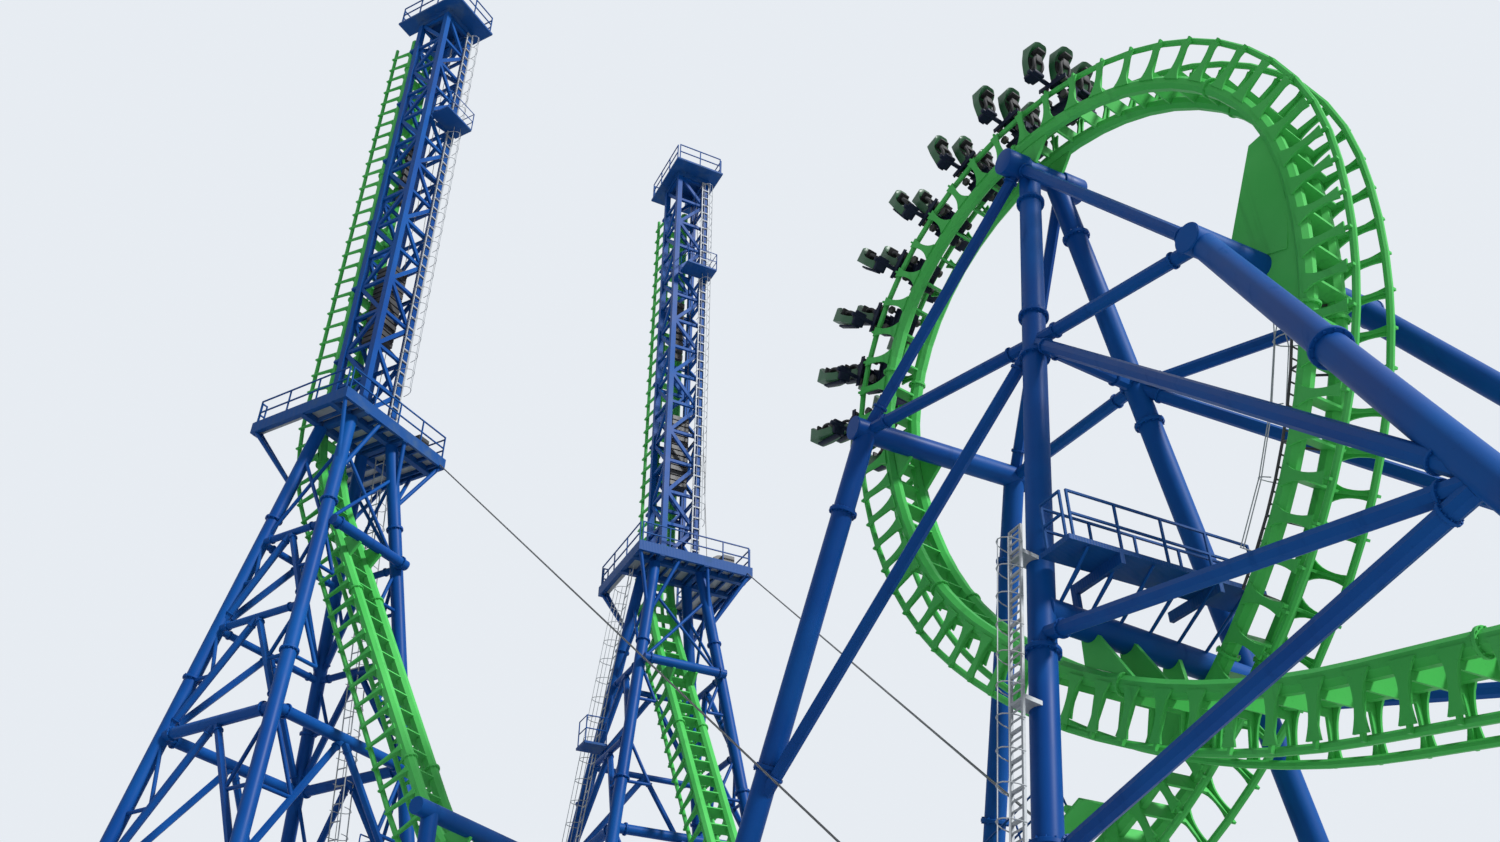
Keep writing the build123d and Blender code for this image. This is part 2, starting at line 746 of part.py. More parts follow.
class Supports:
    """The round members that hold the loop, named so that plates and decks can find them."""

    def __init__(self):
        side = v(0, APEX_HALF, 0)
        self.top_beam = Tube(APEX - side, APEX + side, BEAM_R)
        self.near = Tube(NEAR_FOOT, APEX - side * 0.5, COLUMN_R)
        self.far = Tube(FAR_FOOT, APEX + side * 0.7, COLUMN_R)
        self.lower_beam = Tube(self.near.at(CROSS_Z), self.far.at(CROSS_Z), BEAM_R)
        lap = v(0, BEAM_OVERHANG, 0)
        near_end = v(TRESTLE_X, TRESTLE_NEAR_Y, TRESTLE_Z)
        far_end = v(TRESTLE_X, TRESTLE_FAR_Y, TRESTLE_Z)
        self.left_beam = Tube(near_end - lap, far_end + lap, BEAM_R)
        self.left_near = Tube(TRESTLE_FOOT_NEAR, near_end, TRESTLE_R)
        self.left_far = Tube(TRESTLE_FOOT_FAR, far_end, TRESTLE_R)
        near_end = v(BENT_X, BENT_NEAR_Y, BENT_Z)
        far_end = v(BENT_X, BENT_FAR_Y, BENT_Z)
        self.right_beam = Tube(near_end - lap, far_end + lap, BENT_R)
        self.right_near = Tube(BENT_FOOT_NEAR, near_end, TRESTLE_R)
        self.right_far = Tube(BENT_FOOT_FAR, far_end, TRESTLE_R)

    def brace_ends(self):
        """Start and end of each brace, as points on the axes of what it joins."""
        near, far = self.near, self.far
        upper_near = near.at(BRACE_UPPER_Z)
        upper_far = far.at(BRACE_UPPER_Z)
        knee_near = self.right_near.at(KNEE_Z)
        knee_far = self.right_far.at(KNEE_Z)
        return [
            (upper_near, upper_far),
            (self.top_beam.start, self.left_near.end),
            (self.top_beam.end, self.left_far.end),
            (upper_near, self.left_near.end),
            (upper_far, self.left_far.end),
            (upper_near, self.left_near.at(12.8 * M)),
            (self.top_beam.start, self.right_near.end),
            (self.top_beam.end, self.right_far.end),
            (upper_near, self.right_near.end),
            (upper_far, self.right_far.end),
            (upper_near, knee_near),
            (upper_far, knee_far),
            (near.at(CROSS_Z - 0.6 * M), knee_near),
            (far.at(CROSS_Z - 0.6 * M), knee_far),
            (near.at(8.9 * M), knee_near)]


SUPPORTS = Supports()


def loop_supports():
    frame = Frame()
    held = SUPPORTS
    beams = frame.add(held.top_beam)
    columns = frame.add(held.near) + frame.add(held.far)
    beams += frame.add(held.lower_beam)
    left = frame.add(held.left_beam) + frame.add(held.left_near) + frame.add(held.left_far)
    right = frame.add(held.right_beam) + frame.add(held.right_near) + frame.add(held.right_far)
    columns += [foot_plate(foot.X, foot.Y) for foot in (NEAR_FOOT, FAR_FOOT)]
    left += [foot_plate(foot.X, foot.Y) for foot in (TRESTLE_FOOT_NEAR, TRESTLE_FOOT_FAR)]
    right += [foot_plate(foot.X, foot.Y) for foot in (BENT_FOOT_NEAR, BENT_FOOT_FAR)]
    braces = []
    for start, end in held.brace_ends():
        braces += frame.add(Tube(start, end, BRACE_R, 8))
    floor = block(v(-40 * M, -20 * M, -M), v(40 * M, 40 * M, PLATE_THICK + SEAT_GAP))
    save("main_columns", [s - floor if s.bounding_box().size.Z > M else s for s in columns])
    save("main_crossbeams", beams)
    save("left_trestle", [s - floor if s.bounding_box().size.Z > M else s for s in left])
    save("right_bent", [s - floor if s.bounding_box().size.Z > M else s for s in right])
    save("loop_braces", braces)


def web_plates(stations, station, target, half_long, reach_out=0.0):
    """A pair of plates, one on each spine tube, that taper from the tubes to a cross tube."""
    plates = []
    inward = station.out * -1
    centre = station.place
    drop = (target - centre).dot(inward)
    slide = (target - centre).dot(station.along)
    for side in (-1, 1):
        outline = Polygon(
            (-half_long, SPINE_R * 0.6), (half_long, SPINE_R * 0.6),
            (slide + BEAM_R * 0.8, drop - BEAM_R * 0.2), (slide - BEAM_R * 0.8, drop - BEAM_R * 0.2),
            align=None)
        spot = centre + station.across * (side * SPINE_HALF)
        plane = Plane(origin=spot, x_dir=station.along, z_dir=station.along.cross(inward))
        plate = extrude(plane * outline, 0.05 * M, both=True)
        plate -= track_tube(stations, side * SPINE_HALF, 0, SPINE_R + 2 * SEAT_GAP)
        plates.append(plate)
    return plates


def near_stations(line, station, reach=3):
    spot = line.index(station)
    return line[max(0, spot - reach):spot + reach + 1]


def brackets():
    """Green plates between the loop's spine and the tubes that carry it."""
    held = SUPPORTS
    solids = []
    top = station_at(LOOP_TOP_LINE, "X", APEX.X)
    exit_low = station_at(LOOP_EXIT_LINE[8:22], "X", held.lower_beam.start.X)
    entry_low = station_at(LOOP_ENTRY_LINE[4:-8], "X", held.lower_beam.end.X)
    for station, beam, half_long in (
            (top, held.top_beam, 0.7 * M), (TRESTLE_STATION, held.left_beam, 0.9 * M),
            (BENT_STATION, held.right_beam, 1.9 * M),
            (exit_low, held.lower_beam, 0.8 * M), (entry_low, held.lower_beam, 0.8 * M)):
        share = (station.place - beam.start).dot(beam.way)
        target = beam.start + beam.way * share
        for plate in web_plates(near_stations(LOOP_LINE, station), station, target, half_long):
            solids.append(plate - beam.make(SEAT_GAP))
    save("loop_brackets", solids)


def walkway():
    """Service deck over the lower crossbeam, with a railing on both long sides."""
    start = SUPPORTS.lower_beam.start
    end = SUPPORTS.lower_beam.end
    top = CROSS_Z + BEAM_R + 0.75 * M
    x0 = start.X + COLUMN_R + 0.15 * M
    x1 = x0 + 0.95 * M
    y0 = start.Y - 0.2 * M
    y1 = end.Y - COLUMN_R - 0.9 * M
    plate = block(v(x0, y0, top - DECK_THICK), v(x1, y1, top))
    posts = []
    for share in (0.25, 0.75):
        y = y0 + (y1 - y0) * share
        mid = start.X + (end.X - start.X) * share
        posts.append(block(v(mid - 0.08 * M, y - 0.06 * M, CROSS_Z), v(mid + 0.08 * M, y + 0.06 * M, top - DECK_THICK)))
        posts.append(block(v(start.X - 0.2 * M, y - 0.06 * M, top - 0.36 * M), v(x1, y + 0.06 * M, top - DECK_THICK)))
    solid = plate
    for post in posts:
        solid += post
    solid -= SUPPORTS.lower_beam.make(SEAT_GAP)
    save("walkway", [max(solid.solids(), key=lambda s: s.volume)])
    inset = 0.06 * M
    line = [(x0 + inset, y1 - inset), (x0 + inset, y0 + inset), (x1 - inset, y0 + inset), (x1 - inset, y1 - inset)]
    save("walkway_railing", railing(line, top))


def column_ladder():
    """Ladder beside the near column, from the ground to the walkway."""
    near = SUPPORTS.near
    facing = v(1, 0, 0).cross(near.way).normalized()
    stand = COLUMN_R + 0.35 * M
    low = near.at(0.4 * M) + facing * stand
    high = near.at(16.2 * M) + facing * stand
    way = high - low
    half = 0.22 * M
    thick = 0.06 * M
    panel = Rectangle(2 * half, way.length, align=(Align.CENTER, Align.MIN))
    rungs = 26
    step = way.length / rungs
    holes = []
    for i in range(rungs):
        holes.append(Pos(0, i * step + thick / 2) * Rectangle(
            2 * (half - thick), step - thick, align=(Align.CENTER, Align.MIN)))
    panel -= holes
    plane = Plane(origin=low, x_dir=way.cross(facing).normalized(), z_dir=facing)
    solids = [extrude(plane * panel, thick / 2, both=True)]
    for z in (1.5 * M, 5.0 * M, 8.5 * M, 12.0 * M, 15.5 * M):
        gap = stand - thick / 2 - SEAT_GAP
        clamp = Plane(origin=near.at(z), x_dir=way.cross(facing).normalized(), z_dir=facing)
        arm = clamp * Pos(0, 0, gap / 2) * Box(2 * half, 0.10 * M, gap)
        arm -= near.make(SEAT_GAP)
        solids.append(max(arm.solids(), key=lambda s: s.center().dot(facing)))
    save("column_ladder", solids)


def run_bents():
    """Bents under the run out of the loop, the run into it and the first tower's stub."""
    z, posts, plates = track_bent(LOOP_EXIT_LINE, station_at(LOOP_EXIT_LINE, "X", EXIT_BENT_X))
    save("exit_bent", posts)
    save("exit_bent_saddle", plates)
    z, posts, plates = track_bent(LOOP_ENTRY_LINE, LOOP_ENTRY_LINE[2])
    save("entry_bent", posts)
    save("entry_bent_saddle", plates)
    line = tower_a_line()
    z, posts, plates = track_bent(line, line[-3])
    save("stub_bent", posts, TOWER_A_PLACE)
    save("stub_bent_saddle", plates, TOWER_A_PLACE)


def stays():
    """Two wire ropes from the towers' decks to the loop's supports."""
    corner = Pos(DECK_E[1] - 0.2 * M, DECK_W[1] - 0.2 * M, MID_DECK - DECK_THICK)
    a_low = (TOWER_A_PLACE * corner).position
    b_low = (TOWER_B_PLACE * corner).position
    one = Tube(SUPPORTS.near.at(5.9 * M), a_low, 0.03 * M, 6)
    two = Tube(SUPPORTS.near.at(9.6 * M), b_low, 0.03 * M, 6)
    return one, two


def wires():
    one, two = stays()
    hosts = Frame()
    hosts.members = [SUPPORTS.near]
    plate = block(v(DECK_E[0], DECK_W[0], MID_DECK - DECK_THICK - SEAT_GAP), v(DECK_E[1], DECK_W[1], MID_DECK))
    solids = []
    for wire, place in ((one, TOWER_A_PLACE), (two, TOWER_B_PLACE)):
        for piece in hosts.add(wire):
            solids.append(piece - place * plate)
    save("stay_wires", solids)


tower("tower_a", TOWER_A_PLACE, tower_a_line())
tower("tower_b", TOWER_B_PLACE, [Station(s.place + UNSHIFT, s.along, s.across) for s in TOWER_B_LINE])
track("loop_track", LOOP_LINE)
loop_supports()
brackets()
walkway()
column_ladder()
run_bents()
wires()


# Train on the loop's top arc: eight cars between the hinge centre's angles

CARS = 8
CAR_PITCH = 13.0
TRAIN_START = 178.5
WHEEL_R = 0.12 * M
WHEEL_WIDE = 0.10 * M
WHEEL_OUT = RAIL_HALF - 0.07 * M
WHEEL_Z = RAIL_OUT - RAIL_R - RUN_GAP - WHEEL_R
WHEEL_AHEAD = (-0.3, 0.3)


def car_place(angle):
    """A car's frame: X forward along the track, Y across it, Z out from the hinge centre."""
    a = math.radians(angle)
    flat = v(LOOP_ACROSS.Y, -LOOP_ACROSS.X, 0)
    out = flat * math.cos(a) + v(0, 0, math.sin(a))
    ahead = LOOP_ACROSS.cross(out)
    return Plane(origin=loop_point(angle), x_dir=ahead, z_dir=out).location


def chassis():
    """Wheel carrier between the rails, neck, and the cross beam that the seats hang on."""
    body = Pos(0, 0, 0.74 * M) * Box(0.9 * M, 0.60 * M, 0.50 * M)
    neck = Pos(0, 0, 1.25 * M) * Box(0.4 * M, 0.3 * M, 0.56 * M)
    beam = Pos(0, 0, 1.53 * M) * Box(0.3 * M, 2.9 * M, 0.14 * M)
    for side in (-1, 1):
        beam += Pos(-0.22 * M, side * 1.15 * M, 1.53 * M) * Box(0.56 * M, 0.5 * M, 0.14 * M)
    axle = WHEEL_OUT - WHEEL_WIDE / 2 - SEAT_GAP - 0.25 * M
    for side in (-1, 1):
        for ahead in WHEEL_AHEAD:
            middle = v(ahead * M, side * (0.25 * M + axle / 2), WHEEL_Z)
            body += Solid.make_cylinder(0.04 * M, axle, Plane(origin=middle - v(0, axle / 2, 0), z_dir=v(0, 1, 0)))
    return body + neck + beam


def wheel_set():
    """Running wheels under both rails, each at the end of its own axle."""
    wheels = []
    for side in (-1, 1):
        for ahead in WHEEL_AHEAD:
            spot = v(ahead * M, side * WHEEL_OUT, WHEEL_Z)
            axis = Plane(origin=spot - v(0, WHEEL_WIDE / 2, 0), z_dir=v(0, 1, 0))
            wheels.append(Solid.make_cylinder(WHEEL_R, WHEEL_WIDE, axis))
    return wheels


def seat(half_wide=0.27 * M):
    """A seat shell: back, pan and headrest in one moulding."""
    profile = Polygon(
        (-0.30 * M, 0), (-0.12 * M, 0), (-0.10 * M, 0.75 * M), (0.30 * M, 0.80 * M),
        (0.34 * M, 0.98 * M), (-0.30 * M, 0.98 * M), align=None)
    return extrude(Plane.XZ * profile, half_wide, both=True)


def harness():
    """Over-shoulder restraint: two arms joined by a bar across the chest."""
    arms = Pos(0.05 * M, 0.14 * M, 0.30 * M) * Box(0.08 * M, 0.09 * M, 0.56 * M)
    arms += Pos(0.05 * M, -0.14 * M, 0.30 * M) * Box(0.08 * M, 0.09 * M, 0.56 * M)
    arms += Pos(0.05 * M, 0, 0.52 * M) * Box(0.10 * M, 0.37 * M, 0.12 * M)
    arms += Pos(-0.01 * M, 0, 0.06 * M) * Box(0.207 * M, 0.37 * M, 0.08 * M)
    return arms


def train():
    bodies = []
    wheels = []
    seats = []
    harnesses = []
    for i in range(CARS):
        place = car_place(TRAIN_START - CAR_PITCH * (i + 0.5))
        bodies.append(place * chassis())
        wheels += [place * wheel for wheel in wheel_set()]
        for across, ahead in ((-1.15, -0.2), (-0.45, 0.2), (0.45, 0.2), (1.15, -0.2)):
            spot = place * Pos(ahead * M, across * M, 1.60 * M + SEAT_GAP)
            seats.append(spot * seat())
            harnesses.append(spot * harness())
    save("train_chassis", bodies)
    save("train_wheels", wheels)
    save("train_seats", seats)
    save("train_harnesses", harnesses)


train()
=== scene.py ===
# %% [markdown]
# A steel looping coaster at 1:10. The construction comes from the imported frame.
# This lesson gives it painted steel, galvanised ladders and moulded seats, and adds
# the bolted flanges, end caps, cages and padding that make such a ride read as real.

# %% Load the frame
import json
import math

import bpy
import numpy as np
from mathutils import Matrix, Vector


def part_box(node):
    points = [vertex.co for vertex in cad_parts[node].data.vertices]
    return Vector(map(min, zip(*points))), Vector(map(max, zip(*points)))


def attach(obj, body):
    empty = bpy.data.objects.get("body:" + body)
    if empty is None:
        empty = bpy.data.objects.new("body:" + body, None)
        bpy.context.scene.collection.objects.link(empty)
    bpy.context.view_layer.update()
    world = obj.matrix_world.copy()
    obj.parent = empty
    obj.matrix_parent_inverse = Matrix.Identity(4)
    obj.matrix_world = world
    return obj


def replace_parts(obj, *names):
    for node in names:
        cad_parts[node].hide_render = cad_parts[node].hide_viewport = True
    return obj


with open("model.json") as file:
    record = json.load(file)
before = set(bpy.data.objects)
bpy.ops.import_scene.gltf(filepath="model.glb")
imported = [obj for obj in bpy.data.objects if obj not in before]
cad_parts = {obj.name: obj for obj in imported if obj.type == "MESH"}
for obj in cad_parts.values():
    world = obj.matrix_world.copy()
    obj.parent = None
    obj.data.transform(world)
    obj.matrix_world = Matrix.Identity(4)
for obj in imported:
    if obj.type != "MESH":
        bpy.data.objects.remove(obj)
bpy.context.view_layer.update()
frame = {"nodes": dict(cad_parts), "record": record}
print("frame", len(frame["nodes"]), "nodes")

# %% [markdown]
# Shader maths reads best as plain expressions. One small class wraps a socket, so that
# `0.3 + 0.2 * noise` adds its own Math nodes, and one method adds every other node.


# %% A small wrapper for shader sockets
class Wire:
    """A number that varies over a surface: an output socket with operators."""

    def __init__(self, finish, socket):
        self.finish = finish
        self.socket = socket

    def maths(self, operation, a, b):
        return self.finish.add("ShaderNodeMath", {"operation": operation}, {0: a, 1: b})

    def __add__(self, other):
        return self.maths("ADD", self, other)

    def __mul__(self, other):
        return self.maths("MULTIPLY", self, other)

    __radd__ = __add__
    __rmul__ = __mul__


NOISE_ROUGHNESS = 0.6


class Finish:
    """A material and the nodes that make it."""

    def __init__(self, name):
        self.material = bpy.data.materials.new(name)
        self.material.use_nodes = True
        self.tree = self.material.node_tree
        self.shader = self.tree.nodes["Principled BSDF"]
        coords = self.tree.nodes.new("ShaderNodeTexCoord")
        self.object_space = Wire(self, coords.outputs["Object"])

    def add(self, kind, settings, inputs, output=0):
        node = self.tree.nodes.new(kind)
        for key, value in settings.items():
            setattr(node, key, value)
        for key, value in inputs.items():
            self.feed(node.inputs[key], value)
        return Wire(self, node.outputs[output])

    def feed(self, socket, value):
        if isinstance(value, Wire):
            self.tree.links.new(value.socket, socket)
        else:
            socket.default_value = value

    def noise(self, scale, detail=3.0, stretch=(1, 1, 1)):
        space = self.add("ShaderNodeMapping", {}, {"Vector": self.object_space, "Scale": stretch})
        return self.add("ShaderNodeTexNoise", {},
                        {"Vector": space, "Scale": scale, "Detail": detail, "Roughness": NOISE_ROUGHNESS})

    def mask(self, value, low, high):
        return self.add("ShaderNodeMapRange", {"interpolation_type": "SMOOTHSTEP"},
                        {"Value": value, "From Min": low, "From Max": high})

    def blend(self, share, first, second):
        """Mixes two colours: the colour sockets of a Mix node are its inputs 6 and 7."""
        return self.add("ShaderNodeMix", {"data_type": "RGBA"}, {0: share, 6: first, 7: second}, 2)

    def bump(self, height, strength, distance):
        heights = {"Height": height, "Strength": strength, "Distance": distance}
        self.feed(self.shader.inputs["Normal"], self.add("ShaderNodeBump", {}, heights))

    def set(self, **values):
        for key, value in values.items():
            self.feed(self.shader.inputs[key.replace("_", " ")], value)
        return self.material


# %% [markdown]
# Steel on a ride is sprayed with gloss enamel. Sun fades it in broad patches, rain
# leaves thin dark runs, and the film has a slight orange peel. Each is one noise.


# %% Painted steel
PAINT_SPECULAR = 0.11


def enamel(name, colour, faded, grime, gloss=0.40, run_share=0.30):
    paint = Finish(name)
    patches = paint.mask(paint.noise(2.2, 4.0), 0.35, 0.70)
    runs = paint.mask(paint.noise(26.0, 4.0, (1, 1, 0.05)), 0.56, 0.80)
    specks = paint.mask(paint.noise(160.0, 2.0), 0.66, 0.78)
    body = paint.blend(0.55 * patches, colour, faded)
    body = paint.blend(run_share * runs + 0.25 * specks, body, grime)
    peel = paint.noise(420.0, 2.0)
    paint.bump(peel, 0.10, 0.0006)
    rough = gloss + 0.16 * patches + 0.20 * runs
    return paint.set(Base_Color=body, Roughness=rough, Specular_IOR_Level=PAINT_SPECULAR)


BLUE = enamel("blue_enamel", (0.002, 0.050, 0.235, 1), (0.004, 0.094, 0.345, 1), (0.002, 0.014, 0.060, 1))
GREEN = enamel("green_enamel", (0.058, 0.43, 0.082, 1), (0.115, 0.55, 0.14, 1), (0.025, 0.12, 0.04, 1),
               gloss=0.42, run_share=0.40)
RAILING = enamel("railing_enamel", (0.003, 0.050, 0.210, 1), (0.010, 0.095, 0.300, 1),
                 (0.006, 0.02, 0.06, 1), gloss=0.46)
CHASSIS = enamel("carrier_enamel", (0.008, 0.012, 0.030, 1), (0.020, 0.028, 0.055, 1),
                 (0.030, 0.026, 0.022, 1), gloss=0.44)


# %% Galvanised steel, deck, rope, rubber and mouldings
def galvanised():
    zinc = Finish("galvanised_steel")
    spangle = zinc.add("ShaderNodeTexVoronoi", {}, {"Vector": zinc.object_space, "Scale": 190.0}, 1)
    grey = zinc.add("ShaderNodeRGBToBW", {}, {"Color": spangle})
    stain = zinc.mask(zinc.noise(7.0, 5.0), 0.5, 0.75)
    colour = zinc.blend(0.5 * grey, (0.30, 0.32, 0.34, 1), (0.48, 0.50, 0.52, 1))
    colour = zinc.blend(0.4 * stain, colour, (0.20, 0.17, 0.13, 1))
    return zinc.set(Base_Color=colour, Metallic=0.35, Roughness=0.55 + 0.2 * grey)


def deck_paint():
    deck = Finish("deck_plate")
    diagonal = (0, 0, math.radians(45))
    space = deck.add("ShaderNodeMapping", {}, {"Vector": deck.object_space, "Rotation": diagonal})
    tread = deck.add("ShaderNodeTexWave", {"wave_type": "BANDS"},
                     {"Vector": space, "Scale": 60.0, "Distortion": 0.6})
    scuffs = deck.mask(deck.noise(9.0, 6.0), 0.48, 0.72)
    colour = deck.blend(0.6 * scuffs, (0.006, 0.060, 0.230, 1), (0.06, 0.11, 0.19, 1))
    deck.bump(tread, 0.25, 0.0015)
    return deck.set(Base_Color=colour, Roughness=0.48 + 0.2 * scuffs, Specular_IOR_Level=PAINT_SPECULAR)


def wire_rope():
    rope = Finish("wire_rope")
    lay = rope.add("ShaderNodeTexWave", {"wave_type": "BANDS", "bands_direction": "DIAGONAL"},
                   {"Vector": rope.object_space, "Scale": 90.0})
    rope.bump(lay, 0.6, 0.001)
    return rope.set(Base_Color=rope.blend(lay, (0.05, 0.052, 0.056, 1), (0.20, 0.205, 0.21, 1)),
                    Metallic=0.6, Roughness=0.5)


def moulding(name, colour, worn, grain, gloss):
    plastic = Finish(name)
    fine = plastic.noise(grain, 3.0)
    rubbed = plastic.mask(plastic.noise(14.0, 4.0), 0.5, 0.75)
    plastic.bump(fine, 0.22, 0.0008)
    return plastic.set(Base_Color=plastic.blend(0.6 * rubbed, colour, worn), Roughness=gloss + 0.15 * fine)


ZINC = galvanised()
DECK = deck_paint()
ROPE = wire_rope()
SEAT = moulding("seat_shell", (0.010, 0.085, 0.028, 1), (0.030, 0.150, 0.055, 1), 520.0, 0.34)
FOAM = moulding("restraint_foam", (0.012, 0.012, 0.014, 1), (0.05, 0.05, 0.052, 1), 700.0, 0.62)
TYRE = moulding("wheel_tyre", (0.022, 0.021, 0.020, 1), (0.10, 0.09, 0.07, 1), 300.0, 0.55)
IRON = moulding("winch_iron", (0.020, 0.022, 0.026, 1), (0.10, 0.08, 0.06, 1), 240.0, 0.45)

# %% Give each node its finish
FINISH_OF_SLOT = {
    "steel_blue": BLUE, "railing_blue": RAILING, "deck_blue": DECK, "track_green": GREEN,
    "galvanised": ZINC, "wire_steel": ROPE, "winch_dark": IRON, "chassis_navy": CHASSIS,
    "wheel_black": TYRE, "seat_green": SEAT, "harness_black": FOAM}
for part in frame["record"]["subparts"]:
    node = frame["nodes"][part["node"]]
    node.data.materials.clear()
    node.data.materials.append(FINISH_OF_SLOT[part["material_slot"]])

# %% [markdown]
# New pieces start as a primitive and are shaped in edit mode. They are copied to their
# places with the place baked into each copy's own mesh, so every object stays at the origin.


# %% Modelling helpers
def clear_selection():
    bpy.ops.object.select_all(action="DESELECT")


def active():
    return bpy.context.view_layer.objects.active


def select_only(objects):
    clear_selection()
    for item in objects:
        item.select_set(True)
    bpy.context.view_layer.objects.active = objects[0]


def frame_along(place, way):
    """A matrix that puts local Z along a direction at a place."""
    turn = Vector(way).to_track_quat("Z", "Y").to_matrix().to_4x4()
    return Matrix.Translation(Vector(place)) @ turn


def sized(place, x, y, z):
    return place @ Matrix.Diagonal((x, y, z, 1))


def placed(low, high):
    """A matrix that turns a unit cube into the box between two corners."""
    low, high = Vector(low), Vector(high)
    return sized(Matrix.Translation((low + high) / 2), *(high - low))


def keep(piece, name, slot, body="structure"):
    """Names a finished piece and gives it the finish of its slot and its body."""
    piece.name = name
    piece.data.materials.clear()
    piece.data.materials.append(FINISH_OF_SLOT[slot])
    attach(piece, body)
    return piece


def copies(source, name, places, slot, body="structure"):
    """Joined copies of a finished piece, one for each matrix."""
    made = []
    for place in places:
        twin = bpy.data.objects.new(name, source.data.copy())
        bpy.context.collection.objects.link(twin)
        twin.data.transform(place)
        made.append(twin)
    select_only(made)
    if len(made) > 1:
        bpy.ops.object.join()
    return keep(active(), name, slot, body)


WELD = 0.00001
TUBE_SMOOTH = math.radians(50)
PART_SMOOTH = math.radians(35)


def tubes_to_mesh():
    """Turns the active bevelled curve into a mesh and welds its end caps on."""
    bpy.ops.object.convert(target="MESH")
    bpy.ops.object.mode_set(mode="EDIT")
    bpy.ops.mesh.select_all(action="SELECT")
    bpy.ops.mesh.remove_doubles(threshold=WELD)
    bpy.ops.object.mode_set(mode="OBJECT")


def round_curve(radius, sides):
    """An empty curve with a round bevel and closed ends."""
    clear_selection()
    bpy.ops.curve.primitive_bezier_curve_add()
    curve = active().data
    curve.splines.clear()
    curve.bevel_depth = radius
    curve.bevel_resolution = sides
    curve.use_fill_caps = True
    return curve


def rods(name, lines, radius, slot, body="structure", sides=1):
    """Round bars along lines of points, as one bevelled curve turned into a mesh."""
    curve = round_curve(radius, sides)
    for line in lines:
        spline = curve.splines.new("POLY")
        spline.points.add(len(line) - 1)
        for point, spot in zip(spline.points, line):
            point.co = (*spot, 1)
    tubes_to_mesh()
    bpy.ops.object.shade_smooth_by_angle(angle=TUBE_SMOOTH)
    return keep(active(), name, slot, body)


def finish_source(name, bevel=0.0, segments=1):
    """Applies a bevel and smooth shading to the active object and returns it."""
    piece = active()
    piece.name = name
    if bevel:
        edge = piece.modifiers.new("edge", "BEVEL")
        edge.width = bevel
        edge.segments = segments
        edge.limit_method = "ANGLE"
        bpy.ops.object.modifier_apply(modifier="edge")
    bpy.ops.object.shade_smooth_by_angle(angle=PART_SMOOTH)
    return piece


def round_source(radius, depth, bevel, sides=20):
    clear_selection()
    bpy.ops.mesh.primitive_cylinder_add(vertices=sides, radius=radius, depth=depth)
    return finish_source("round", bevel, 2)


def unit_cube():
    clear_selection()
    bpy.ops.mesh.primitive_cube_add(size=1)
    return active()


def cube_source(bevel):
    unit_cube()
    return finish_source("cube", bevel)


def drop(*sources):
    for source in sources:
        bpy.data.objects.remove(source, do_unlink=True)


# %% [markdown]
# The frame's own meshes say where everything is. Each separate solid is found by joining
# vertices that share a place or an edge, then a tube's axis or a tie's frame is fitted to it.


# %% Read tubes and ties back from the frame
def solids_of(node):
    """Each solid of a node as its points and its face normals, longer for larger faces."""
    item = frame["nodes"][node]
    world = np.array(item.matrix_world)
    mesh = item.data
    points = np.array([vertex.co[:] for vertex in mesh.vertices]) @ world[:3, :3].T + world[:3, 3]
    parent = list(range(len(points)))

    def root(i):
        while parent[i] != i:
            parent[i] = parent[parent[i]]
            i = parent[i]
        return i

    first = {}
    for i, point in enumerate(points):
        parent[root(i)] = root(first.setdefault(tuple(np.round(point, 5)), i))
    for edge in mesh.edges:
        parent[root(edge.vertices[0])] = root(edge.vertices[1])
    groups = {}
    for i in range(len(points)):
        groups.setdefault(root(i), ([], []))[0].append(i)
    for face in mesh.polygons:
        groups[root(face.vertices[0])][1].append(np.array(face.normal) * face.area)
    return [(points[chosen], np.array(normals) @ world[:3, :3].T) for chosen, normals in groups.values()]


FIT_PASSES = 3
WALL_SLACK = 0.0015
TIE_INSET = 0.010


def tube_of(points, normals):
    """Start, end and radius of the round tube that a solid is."""
    rows = np.linalg.svd(normals)[2]
    flat = points @ rows[:2].T
    chosen = flat
    for attempt in range(FIT_PASSES):
        rule = np.c_[2 * chosen, np.ones(len(chosen))]
        answer = np.linalg.lstsq(rule, (chosen ** 2).sum(1), rcond=None)[0]
        radius = math.sqrt(max(answer[2] + answer[:2] @ answer[:2], 1e-9))
        off = abs(np.linalg.norm(flat - answer[:2], axis=1) - radius)
        chosen = flat[off < WALL_SLACK] if (off < WALL_SLACK).sum() > 8 else chosen
    middle = answer[0] * rows[0] + answer[1] * rows[1]
    along = points @ rows[2]
    return Vector(middle + rows[2] * along.min()), Vector(middle + rows[2] * along.max()), radius


def tie_frame(points):
    """The place midway between the spine tubes at a tie: X along the track, Z out to the rails."""
    middle = points.mean(0)
    centred = points - middle
    rows = np.linalg.eigh(centred.T @ centred)[1].T
    lean = [(centred @ row) ** 3 for row in rows[1:]]
    totals = [float(values.sum()) for values in lean]
    pick = 1 if abs(totals[0]) > abs(totals[1]) else 2
    out = rows[pick] * math.copysign(1, totals[pick - 1])
    along = rows[0]
    spot = middle + out * (float((centred @ out).min()) + TIE_INSET)
    out, along = Vector(out), Vector(along)
    place = Matrix((along, out.cross(along), out)).transposed().to_4x4()
    place.translation = Vector(spot)
    return place


LOOP_TIES = [tie_frame(points) for points, normals in solids_of("loop_track_ties")]
TOWER_TIES = {name: [tie_frame(points) for points, normals in solids_of(name + "_track_ties")]
              for name in ("tower_a", "tower_b")}
BRACES = [tube_of(*solid) for solid in solids_of("loop_braces")]

